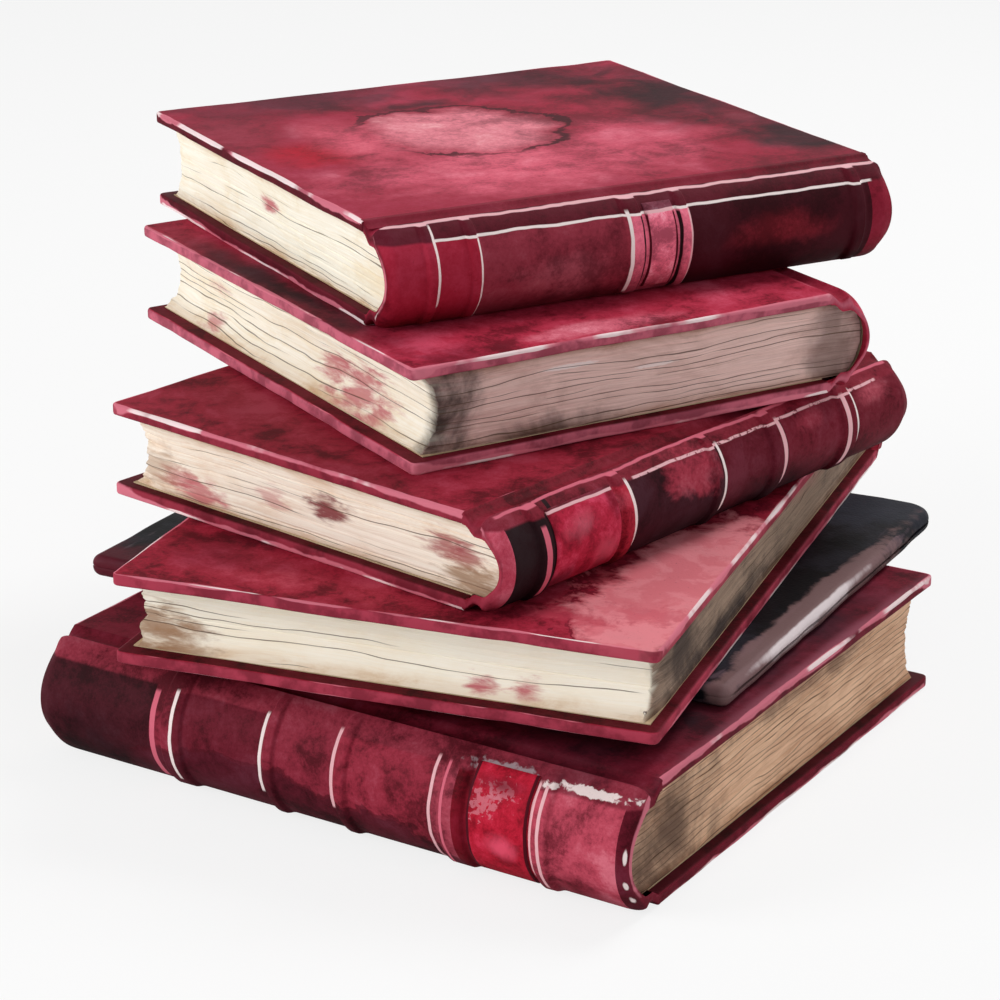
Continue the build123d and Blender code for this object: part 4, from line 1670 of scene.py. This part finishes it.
def top_book() -> OpeningBook:
    """The top book, with its spine towards the front right."""
    place = Place(-56.9, 89.4, 60.2, 160.1)
    face = 37.7  # level of its upper side
    title = paint(242, 116, 142)
    patch = paint(228, 132, 146)
    # Painted shade: the spine's strip under the board's edge, above the frame line, is dark
    strip = paint(92, 22, 36)
    leather = LeatherFinish(
        "top_book_leather", place, paint(150, 36, 58), paint(92, 20, 34),
        strip=strip, strip_level=31.6,
        panels=(
            (-105.2, CRIMSON), (-68.7, paint(146, 50, 66)), (-8.4, title), (16.5, paint(66, 16, 26)),
            (95.0, paint(140, 32, 52)),
        ),
        lines=(
            ToolLine(-85.5, 1.5, WHITE_LINE, 0.95, 9.0, 36.0), ToolLine(-68.7, 1.3, WHITE_LINE, 0.85, 2.0, 31.0),
            ToolLine(-8.4, 1.5, WHITE_LINE, 0.9, 3.0, 33.0), ToolLine(-3.0, 0.9, NEAR_BLACK, 0.8, 1.0, 31.0),
            ToolLine(12.2, 1.0, NEAR_BLACK, 0.8, 1.0, 31.0), ToolLine(16.5, 1.4, PALE_PINK, 0.85, 3.0, 31.0),
            ToolLine(31.6, 0.85, WHITE_LINE, 0.82, -86.0, 97.0, lengthwise=True),
            ToolLine(36.7, 0.7, PALE_PINK, 0.85, -103.0, 104.0, lengthwise=True),
        ),
        fields=(
            wash(-20.0, -48.0, face, (96.0, 50.0, 9.0), paint(216, 94, 116), 0.95, 0.4),
            wash(44.0, -28.0, face, (36.0, 44.0, 9.0), paint(204, 84, 106), 0.85, 0.5),
            wash(-92.0, 48.0, face, (30.0, 46.0, 9.0), paint(136, 44, 60), 0.8, 0.5),
            wash(-78.0, 4.0, face, (24.0, 28.0, 9.0), paint(174, 18, 42), 0.9, 0.5),
            wash(-46.0, 92.0, face, (90.0, 40.0, 9.0), paint(88, 30, 44), 0.95, 0.45),
            wash(50.0, 88.0, face, (80.0, 44.0, 9.0), paint(78, 26, 38), 0.95, 0.45),
            wash(92.0, 30.0, face, (46.0, 100.0, 9.0), paint(44, 14, 21), 0.98, 0.5),
            wash(98.0, -50.0, face, (28.0, 56.0, 9.0), NEAR_BLACK, 0.95, 0.5),
            wash(72.0, -33.0, face, (15.0, 13.0, 9.0), paint(176, 62, 82), 0.7),
            wash(64.0, 22.0, face, (12.0, 16.0, 9.0), paint(150, 44, 62), 0.6),
            wash(96.0, -14.0, face, (10.0, 18.0, 9.0), paint(136, 42, 58), 0.6),
            wash(-8.0, 60.0, face, (30.0, 12.0, 9.0), paint(46, 16, 24), 0.9),
            StainAndLight((-12.0, 15.0, face), (43.0, 42.0, 9.0), patch, paint(70, 14, 26), 0.92, 0.9, 0.28, 0.4, 0.035),
            wash(-56.0, 14.0, face, (24.0, 52.0, 9.0), paint(210, 90, 110), 0.95, 0.25),
            wash(-24.0, -36.0, face, (50.0, 15.0, 9.0), paint(214, 98, 118), 0.9, 0.4),
            wash(56.0, -112.0, 19.0, (26.0, 20.0, 8.0), paint(150, 40, 54), 0.7),
            wash(-34.0, -112.0, 14.0, (30.0, 20.0, 10.0), paint(172, 84, 98), 0.7),
        ),
        patchiness=0.8, shade_share=0.65, light_share=0.32, white_amount=0.15, seed=1.3, half_height=105.2,
    )
    pages = PageFinish(
        "top_book_paper", place, 100.7, CREAM, CREAM_SHADE, CREAM, CREAM_SHADE, CREAM, CREAM_SHADE, LOW_LEAF, 33.0,
        gaps=0.45,
        stains_and_light=(blot(-100.7, -2.5, 22.4, 7.0, RED_STAIN, 0.9), blot(-100.7, -94.0, 16.0, 16.0, CREAM_SHADE, 0.5)),
        seed=1.0,
    )
    label = title_finish(
        "top_book_label", place, title, 5.0, (wash(5.0, -119.0, 4.0, (14.0, 20.0, 9.0), paint(140, 50, 66), 0.8),),
        # Painted shade: the label is darker above the frame line, under the board's edge
        paint(130, 62, 78), 31.6,
        (
            ToolLine(31.6, 1.1, PALE_PINK, 0.88, -3.0, 14.0, lengthwise=True),
            ToolLine(-0.6, 1.0, MAROON, 0.9, 0.0, 31.0), ToolLine(10.4, 1.0, MAROON, 0.9, 0.0, 31.0),
        ),
    )
    return OpeningBook(
        "top_book", 210.4, 200.0, face, place, leather, pages,
        ((-87.5, 4.5), (-70.7, 4.5), (-6.2, 7.5), (14.6, 4.5), (89.7, 5.0)), (-0.95, 10.85), label,
        seed=1.0, ragged=1.1,
    )


def second_book() -> Hardback:
    """The second book, with its fore-edge to the front."""
    place = Place(-42.6, 50.2, 152.9, 122.2)
    face = 37.9  # level of its upper side
    leather = LeatherFinish(
        "second_book_leather", place, paint(176, 44, 68), paint(204, 106, 126),
        fields=(
            wash(-106.0, 78.0, face, (20.0, 30.0, 8.0), BURGUNDY, 0.8),
            wash(-100.0, 10.0, face, (9.0, 40.0, 8.0), PINK, 0.8),
            wash(-86.0, -52.0, face, (20.0, 20.0, 8.0), paint(200, 62, 88), 0.7),
            # Painted shadow of the top book: the upper side along the fore-edge is near black
            wash(10.0, 85.0, face, (130.0, 15.0, 8.0), paint(50, 24, 32), 0.95, 0.3),
        ),
        mottle_size=40.0, seed=2.7, half_height=108.6,
    )
    pages = PageFinish(
        "second_book_paper", place, 104.05, CREAM, CREAM_SHADE, paint(244, 208, 200), paint(190, 150, 140),
        CREAM, CREAM_SHADE, LOW_LEAF, 33.2, gaps=0.7,
        stains_and_light=(
            blot(65.8, 84.8, 21.0, 9.0, RED_STAIN), blot(65.2, 84.8, 8.0, 8.0, RED_STAIN, 0.7),
            blot(-30.0, 84.8, 15.0, 14.0, RED_STAIN, 0.8), blot(-52.0, 84.8, 12.0, 20.0, RED_STAIN, 0.8),
            wash(92.0, 84.8, 24.0, (22.0, 10.0, 12.0), paint(222, 172, 142), 0.7),
            blot(-66.0, 84.8, 8.0, 10.0, RED_STAIN), blot(-62.0, 84.8, 19.0, 8.0, RED_STAIN),
            # Painted shade: the end that faces right darkens at its near corner, along its foot and at its far corner
            wash(-104.0, 80.0, 14.0, (12.0, 26.0, 40.0), paint(42, 32, 28), 0.95),
            wash(-104.0, 44.0, 5.0, (12.0, 44.0, 8.0), DARK_LEAF, 0.8),
            wash(-104.0, -88.0, 20.0, (12.0, 16.0, 30.0), DARK_LEAF, 0.6),
            # Painted highlights: two white glints on that end
            StainAndLight((-104.0, 26.0, 27.0), (8.0, 13.0, 1.0), WHITE_LINE, WHITE_LINE, 0.8, 0.0, 0.4, 0.4, 0.2),
            StainAndLight((-104.0, -10.0, 22.0), (8.0, 11.0, 0.9), WHITE_LINE, WHITE_LINE, 0.7, 0.0, 0.4, 0.4, 0.2),
        ), seed=2.0,
    )
    return Hardback("second_book", 217.1, 182.6, face, place, leather, pages, seed=2.0, torn=3.0)


def third_book() -> Hardback:
    """The third book, with its spine towards the right."""
    place = Place(-17.0, 28.0, 80.8, 87.3)
    face = 34.9  # level of its upper side
    leather = LeatherFinish(
        "third_book_leather", place, paint(142, 32, 50), paint(150, 48, 66),
        strip=paint(130, 34, 50), strip_level=30.4,
        panels=(
            (-117.1, ROSE), (-112.0, NEAR_BLACK), (-86.5, paint(180, 40, 60)), (-49.0, paint(60, 18, 28)),
            (1.7, paint(96, 23, 37)), (38.5, paint(112, 28, 43)), (83.0, paint(112, 30, 44)),
        ),
        lines=(
            ToolLine(-95.8, 2.6, PINK, 0.95, 3.0, 28.0), ToolLine(-88.0, 2.0, NEAR_BLACK, 0.95),
            ToolLine(-49.0, 1.5, WHITE_LINE, 0.95, 4.0, 31.0), ToolLine(1.7, 1.3, WHITE_LINE, 0.9, 6.0, 31.0),
            ToolLine(36.8, 3.2, PALE_PINK, 0.95, 4.0, 31.0), ToolLine(76.0, 2.6, PALE_PINK, 0.9, 4.0, 31.0),
            ToolLine(82.5, 1.6, WHITE_LINE, 0.95, 4.0, 31.0),
            ToolLine(30.6, 0.8, PALE_PINK, 0.6, -45.0, 100.0, lengthwise=True),
            ToolLine(33.9, 0.6, PINK, 0.85, -112.0, 112.0, lengthwise=True),
        ),
        fields=(
            # Painted shade: the lower part of the spine is near black
            wash(20.0, -98.0, 2.0, (96.0, 34.0, 17.0), NEAR_BLACK, 0.92, 0.4),
            StainAndLight((-19.0, -100.0, 25.0), (17.0, 26.0, 9.0), paint(172, 58, 76), MAROON, 0.85, 0.0, 1.3, 0.7, 0.06),
            wash(-66.0, -98.0, 26.0, (17.0, 18.0, 6.0), PINK, 0.8),
            wash(54.0, -98.0, 27.0, (12.0, 20.0, 5.0), paint(170, 60, 78), 0.6),
            wash(96.0, -98.0, 28.0, (14.0, 20.0, 5.0), paint(190, 84, 100), 0.7),
            wash(110.0, -50.0, face, (60.0, 40.0, 8.0), BURGUNDY, 0.7),
        ),
        mottle_size=38.0, seed=4.1, half_height=117.15,
    )
    pages = PageFinish(
        "third_book_paper", place, 112.65, CREAM, CREAM_SHADE, paint(252, 241, 226), paint(230, 198, 170),
        CREAM, CREAM_SHADE, LOW_LEAF, 30.2, gaps=0.45,
        stains_and_light=(
            blot(-112.6, 48.0, 8.0, 12.0, RED_STAIN, 0.8), blot(-112.6, 60.0, 12.0, 9.0, RED_STAIN, 0.7),
            blot(-112.6, -16.0, 18.2, 10.0, paint(128, 48, 54), 0.95), blot(-112.6, 12.0, 16.0, 8.0, RED_STAIN, 0.5),
            blot(-112.6, -70.0, 19.0, 10.0, paint(160, 70, 76), 0.8),
            blot(-112.6, -80.0, 17.0, 8.0, paint(160, 70, 76), 0.8),
            blot(-112.6, 72.0, 14.0, 14.0, BROWN_STAIN, 0.5), blot(-112.6, -86.0, 8.0, 16.0, BROWN_STAIN, 0.8),
        ), seed=3.0,
    )
    return Hardback(
        "third_book", 234.3, 180.9, face, place, leather, pages,
        ((-96.0, 7.0), (-53.0, 5.5), (-2.7, 4.5), (32.3, 7.0), (77.0, 9.0)), (-91.0, -57.25),
        title_finish(
            "third_book_label", place, paint(186, 40, 66), 6.0,
            (
                wash(-78.0, -98.0, 24.0, (12.0, 18.0, 7.0), PINK, 0.75),
                wash(-64.0, -98.0, 12.0, (10.0, 18.0, 8.0), paint(206, 84, 106), 0.7),
                wash(-88.0, -98.0, 6.0, (12.0, 20.0, 9.0), MAROON, 0.8),
                wash(-59.0, -98.0, 28.0, (5.0, 20.0, 12.0), MAROON, 0.6),
            ),
            paint(110, 24, 40), 30.4, (ToolLine(30.6, 0.8, PALE_PINK, 0.7, -93.0, -55.0, lengthwise=True),),
        ),
        seed=3.0, torn=2.4,
    )


def fourth_book() -> Hardback:
    """The fourth book, an oblong volume with its fore-edge to the front."""
    place = Place(-9.3, 32.7, 191.6, 54.2)
    face = 33.1  # level of its upper side
    pale = paint(234, 142, 150)
    leather = LeatherFinish(
        "fourth_book_leather", place, paint(154, 34, 54), paint(172, 62, 82),
        fields=(
            wash(70.0, 118.0, face, (30.0, 30.0, 9.0), BURGUNDY, 0.6),
            wash(30.0, 140.0, face, (60.0, 12.0, 9.0), paint(190, 56, 76), 0.6),
        ),
        stains_and_light=(
            StainAndLight((-90.0, 98.0, face), (33.0, 74.0, 9.0), pale, BURGUNDY, 0.85, 0.9, 0.6, 0.3, 0.045),
            StainAndLight((-62.0, 134.0, face), (22.0, 10.0, 9.0), paint(176, 56, 74), BURGUNDY, 0.75, 0.0, 1.0, 0.7, 0.12),
            StainAndLight((-86.0, 122.0, face), (16.0, 12.0, 9.0), paint(186, 70, 86), BURGUNDY, 0.55, 0.0, 1.2, 0.8, 0.14),
            StainAndLight((-84.0, 92.0, face), (30.0, 50.0, 9.0), paint(206, 96, 108), BURGUNDY, 0.5, 0.0, 2.0, 0.8, 0.09),
        ),
        mottle_size=36.0, light_share=0.5, seed=6.3, half_height=98.5,
    )
    pages = PageFinish(
        # The end that faces right is dark brown: partly toned edges, partly painted shade
        "fourth_book_paper", place, 94.0, CREAM, paint(248, 236, 212), paint(176, 150, 130), paint(56, 46, 44),
        CREAM, CREAM_SHADE, LOW_LEAF, 28.4, gaps=0.45,
        stains_and_light=(
            blot(88.0, 146.0, 11.0, 18.0, BROWN_STAIN, 0.8), blot(76.0, 146.0, 8.0, 14.0, BROWN_STAIN, 0.6),
            blot(-32.8, 146.2, 9.0, 7.0, RED_STAIN, 0.95), blot(-49.4, 146.2, 9.4, 7.0, RED_STAIN, 0.9),
            StainAndLight((-94.0, 146.0, 15.0), (4.6, 4.6, 11.0), paint(222, 228, 230), DARK_LEAF, 0.9, 0.9, 0.7, 0.25, 0.2),
            # Painted shade: that end is darkest near its corner, and lighter towards its far end
            wash(-94.0, 60.0, 8.0, (10.0, 90.0, 10.0), paint(36, 28, 30), 0.9),
            wash(-94.0, 110.0, 16.0, (10.0, 34.0, 24.0), paint(54, 44, 42), 0.8),
            wash(-94.0, -60.0, 24.0, (10.0, 40.0, 7.0), paint(190, 140, 130), 0.7),
        ), seed=4.0,
    )
    return Hardback("fourth_book", 197.0, 305.4, face, place, leather, pages, seed=4.0, torn=2.8)


def bottom_book() -> Hardback:
    """The bottom book, with its spine to the front left."""
    place = Place(0.0, 0.0, 0.0, 0.0)
    face = 45.8  # level of its upper side
    leather = LeatherFinish(
        "bottom_book_leather", place, paint(120, 28, 46), paint(116, 26, 44),
        strip=paint(140, 46, 62), strip_level=39.6,
        panels=(
            (-122.6, paint(70, 20, 30)), (-72.0, paint(140, 42, 60)), (-61.6, paint(104, 26, 41)),
            (-23.6, paint(136, 40, 57)),
            (6.4, paint(150, 44, 62)), (46.3, paint(170, 66, 84)), (55.5, paint(120, 14, 32)), (61.0, BRIGHT),
            (86.0, paint(190, 72, 92)), (117.0, paint(96, 20, 36)),
        ),
        lines=(
            ToolLine(-70.5, 2.2, PINK, 0.8, 4.0, 38.0), ToolLine(-61.6, 1.4, WHITE_LINE, 0.95, 6.0, 40.0),
            ToolLine(-23.6, 1.3, WHITE_LINE, 0.9, 12.0, 40.0), ToolLine(6.4, 1.3, PALE_PINK, 0.9, 14.0, 41.0),
            ToolLine(46.3, 1.2, PALE_PINK, 0.85, 2.0, 41.0), ToolLine(51.5, 1.0, PINK, 0.85, 2.0, 41.0),
            ToolLine(85.5, 1.3, PALE_PINK, 0.9, 4.0, 41.0), ToolLine(89.0, 1.2, PALE_PINK, 0.8, 4.0, 41.0),
        ),
        fields=(
            # Painted shade: the lower part of the spine is darker
            StainAndLight((-18.0, -117.0, 4.0), (74.0, 30.0, 19.0), paint(82, 20, 34), MAROON, 0.9, 0.6, 0.4, 0.1, 0.03),
            wash(-98.0, -117.0, 14.0, (28.0, 30.0, 20.0), paint(46, 14, 22), 0.85),
            wash(102.0, -117.0, 8.0, (16.0, 30.0, 9.0), BURGUNDY, 0.7),
            wash(-70.0, -100.0, face, (60.0, 26.0, 9.0), BURGUNDY, 0.6),
        ),
        stains_and_light=(
            # Painted shadow: the upper side beside the thin book is near black
            wash(90.0, 0.0, face, (52.0, 170.0, 9.0), paint(27, 22, 30), 0.95, 0.3),
            wash(122.0, 10.0, face, (6.0, 150.0, 9.0), paint(152, 84, 100), 0.85, 0.2),
            StainAndLight((104.0, -113.5, 41.6), (18.0, 9.0, 1.3), WHITE_LINE, PALE_PINK, 0.85, 0.0, 0.9, 0.3, 0.3),
            StainAndLight((71.0, -113.5, 41.6), (17.0, 9.0, 1.9), paint(168, 152, 158), PALE_PINK, 0.75, 0.0, 1.1, 0.5, 0.25),
            # Painted highlights: three white dabs at the right-hand end of the spine
            StainAndLight((120.8, -122.0, 26.0), (0.8, 8.0, 3.0), WHITE_LINE, PALE_PINK, 0.9, 0.0, 0.3, 0.4, 0.2),
            StainAndLight((120.6, -122.0, 15.0), (1.0, 8.0, 2.0), WHITE_LINE, PALE_PINK, 0.9, 0.0, 0.3, 0.4, 0.2),
            StainAndLight((120.8, -120.0, 8.0), (0.9, 8.0, 2.4), WHITE_LINE, PALE_PINK, 0.9, 0.0, 0.3, 0.4, 0.2),
        ),
        mottle_size=40.0, seed=8.2, half_height=122.6,
    )
    pages = PageFinish(
        "bottom_book_paper", place, 118.1, CREAM, CREAM_SHADE, CREAM_SHADE, paint(140, 104, 76),
        # The end that faces right is tan, partly toned edges and partly painted shade
        paint(248, 206, 172), paint(190, 142, 112), LOW_LEAF, 41.1, gaps=0.95,
        stains_and_light=(
            # Painted shade: that end darkens near the spine and towards the top
            wash(118.0, -100.0, 20.0, (10.0, 56.0, 38.0), paint(86, 64, 54), 0.9),
            wash(118.0, 10.0, 36.0, (10.0, 80.0, 7.0), paint(104, 76, 62), 0.7),
        ),
        seed=5.0,
    )
    splash = (
        StainAndLight((66.0, -119.0, 32.0), (5.5, 24.0, 4.0), paint(214, 128, 142), BRIGHT, 0.6, 0.0, 2.2, 0.3, 0.5),
        StainAndLight((73.0, -119.0, 36.0), (4.5, 24.0, 2.5), paint(206, 120, 134), BRIGHT, 0.7, 0.0, 2.2, 0.3, 0.5),
        wash(74.0, -119.0, 17.0, (9.0, 24.0, 6.0), paint(236, 84, 112), 0.9),
        wash(72.0, -119.0, 38.0, (16.0, 24.0, 4.0), paint(110, 18, 34), 0.8),
    )
    title = title_finish(
        "bottom_book_label", place, paint(186, 28, 52), 9.0, splash,
        lines=(ToolLine(61.6, 1.2, MAROON, 0.95, 1.0, 43.0), ToolLine(83.8, 1.2, MAROON, 0.95, 1.0, 43.0)),
    )
    return Hardback(
        "bottom_book", 245.2, 219.5, face, place, leather, pages,
        ((-62.0, 9.0), (-20.0, 4.5), (10.0, 5.0), (54.5, 10.0), (89.0, 6.0)), (61.0, 84.5),
        title, seed=5.0,
    )


def limp_book() -> LimpBook:
    """The thin black book, with its rubbed tail to the right."""
    place = Place(-23.2, 48.4, 4.0, 45.8)
    face = 8.4  # level of its upper side
    leather = LimpFinish("worn_black_leather", place, (
        wash(-128.0, -98.0, 6.0, (26.0, 22.0, 20.0), paint(96, 26, 40)),
        # Rubbed leather and painted reflection: a pinkish grey band along the rolled edge on the right
        StainAndLight(
            (129.0, -24.0, 8.0), (7.5, 110.0, 16.0), paint(136, 106, 106), paint(30, 26, 32), 0.8, 0.4, 0.5, 0.35, 0.06,
        ),
        # Painted highlight: a white streak along that roll
        StainAndLight(
            (131.2, -28.0, 7.5), (1.6, 60.0, 6.0), paint(240, 228, 230), paint(160, 140, 150), 0.85, 0.0, 0.3, 0.5,
            0.05,
        ),
        # Painted sheen: a bluish grey field near the far corner
        wash(112.0, 86.0, face, (30.0, 26.0, 9.0), paint(46, 48, 58), 0.6),
    ))
    return LimpBook("limp_book", 263.8, 202.9, face, place, leather)


def dress_inner_pieces() -> None:
    """Give every carried-over solid its own fibrous material."""
    finishes = (
        PlainFinish(PlainKind.ENDPAPER, paint(206, 184, 150), paint(168, 138, 106), 9.0, 0.82),
        PlainFinish(PlainKind.MILLBOARD, paint(128, 106, 82), paint(92, 74, 56), 2.5, 0.88),
        PlainFinish(PlainKind.LINING, paint(206, 192, 160), paint(160, 142, 110), 1.4, 0.9),
        PlainFinish(PlainKind.CORD, paint(186, 156, 104), paint(126, 98, 62), 0.8, 0.9),
    )
    endings = {"_board": PlainKind.MILLBOARD, "_spine_lining": PlainKind.LINING, "_sewing_cords": PlainKind.CORD}
    made = {finish.kind: finish.material() for finish in finishes}
    for name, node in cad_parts.items():
        if node.hide_render:
            continue
        kind = next((found for ending, found in endings.items() if name.endswith(ending)), PlainKind.ENDPAPER)
        if not node.material_slots:
            node.data.materials.append(made[kind])
        for slot in node.material_slots:
            slot.material = made[kind]
        log.info("%s: dressed as %s", name, kind.value)


@dataclass(frozen=True)
class Studio:
    """Floor, light and camera: each lamp has its name, place, side in metres and power in watts."""

    floor_reach: float = 8.0
    floor_tone: float = 0.86
    floor_glow: float = 0.8
    eye: Triple = (0.5419, -0.8689, 0.4643)
    azimuth: float = 32.1
    dip: float = 20.27
    lens: float = 107.37
    aim: Triple = (0.0, 0.0, 0.1)
    lamps: tuple[tuple[str, Triple, float, float], ...] = (
        ("front_light", (-1.1, -1.35, 0.75), 0.9, 21.0),
        ("side_light", (1.5, -0.5, 0.8), 1.2, 5.0),
        ("top_light", (0.25, 1.0, 1.6), 0.7, 17.0),
    )

    def build_floor(self) -> None:
        """Lay a plain pale floor that keeps the stack's shadow."""
        shape = bmesh.new()
        bmesh.ops.create_grid(shape, x_segments=1, y_segments=1, size=self.floor_reach)
        mesh = bpy.data.meshes.new("studio_floor")
        shape.to_mesh(mesh)
        shape.free()
        made, shade, surface = new_material("studio_floor")
        surface.inputs["Base Color"].default_value = (self.floor_tone, self.floor_tone, self.floor_tone, 1.0)
        surface.inputs["Roughness"].default_value = 0.9
        surface.inputs["Specular IOR Level"].default_value = 0.1
        bright = shade.add("ShaderNodeEmission", {"Color": WHITE, "Strength": 1.0})
        path = shade.add("ShaderNodeLightPath")
        share = shade.times(path.outputs["Is Camera Ray"], self.floor_glow)
        both = shade.add("ShaderNodeMixShader", {0: share, 1: surface.outputs[0], 2: bright.outputs[0]})
        finish = next(node for node in made.node_tree.nodes if node.type == "OUTPUT_MATERIAL")
        shade.feed(finish.inputs["Surface"], both.outputs[0])
        mesh.materials.append(made)
        floor = bpy.data.objects.new("studio_floor", mesh)
        bpy.context.scene.collection.objects.link(floor)
        floor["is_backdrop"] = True

    def build_world(self) -> None:
        """Surround the stack with soft neutral light and a white background."""
        world = bpy.data.worlds.new("studio")
        world.use_nodes = True
        world.node_tree.nodes.clear()
        shade = Shading(world.node_tree)
        path = shade.add("ShaderNodeLightPath")
        mirrored = shade.math("MAXIMUM", path.outputs["Is Glossy Ray"], path.outputs["Is Transmission Ray"])
        seen = shade.math("MAXIMUM", path.outputs["Is Camera Ray"], mirrored)
        soft = shade.add("ShaderNodeBackground", {"Color": WHITE, "Strength": 0.3})
        white = shade.add("ShaderNodeBackground", {"Color": WHITE, "Strength": 1.0})
        both = shade.add("ShaderNodeMixShader", {0: seen, 1: soft.outputs[0], 2: white.outputs[0]})
        shade.add("ShaderNodeOutputWorld", {"Surface": both.outputs[0]})
        bpy.context.scene.world = world

    def build_lamp(self, name: str, spot: Triple, size: float, power: float) -> None:
        """Hang one square soft lamp that points at the stack.

        Args:
            name: The lamp's name.
            spot: Where it hangs, in metres.
            size: Side of the lamp, in metres.
            power: Power in watts.
        """
        data = bpy.data.lights.new(name, "AREA")
        data.shape = "SQUARE"
        data.size = size
        data.energy = power
        lamp = bpy.data.objects.new(name, data)
        aim = Vector(self.aim) - Vector(spot)
        lamp.matrix_world = Matrix.Translation(spot) @ aim.to_track_quat("-Z", "Y").to_matrix().to_4x4()
        bpy.context.scene.collection.objects.link(lamp)

    def build_camera(self) -> None:
        """Set up the camera at the drawing's point of view."""
        data = bpy.data.cameras.new("drawing_view")
        data.sensor_width = 36.0
        data.lens = self.lens
        data.clip_end = 50.0
        camera = bpy.data.objects.new("drawing_view", data)
        camera.location = self.eye
        camera.rotation_euler = (radians(90 - self.dip), 0.0, radians(self.azimuth))
        bpy.context.scene.collection.objects.link(camera)
        bpy.context.scene.camera = camera

    def build(self) -> None:
        """Set up the whole studio."""
        bpy.context.scene.view_settings.view_transform = "Standard"
        self.build_floor()
        self.build_world()
        for name, spot, size, power in self.lamps:
            self.build_lamp(name, spot, size, power)
        self.build_camera()


def main(cad_box: tuple[Vector, Vector]) -> None:
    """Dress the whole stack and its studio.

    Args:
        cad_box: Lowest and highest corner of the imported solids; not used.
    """
    logging.basicConfig(level=logging.INFO, format="%(name)s: %(message)s")
    effects = Effects()
    for book in (bottom_book(), fourth_book(), third_book(), second_book(), top_book()):
        book.build(effects)
    limp_book().build(effects)
    dress_inner_pieces()
    Studio().build()


if __name__ == "__main__":
    main(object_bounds())
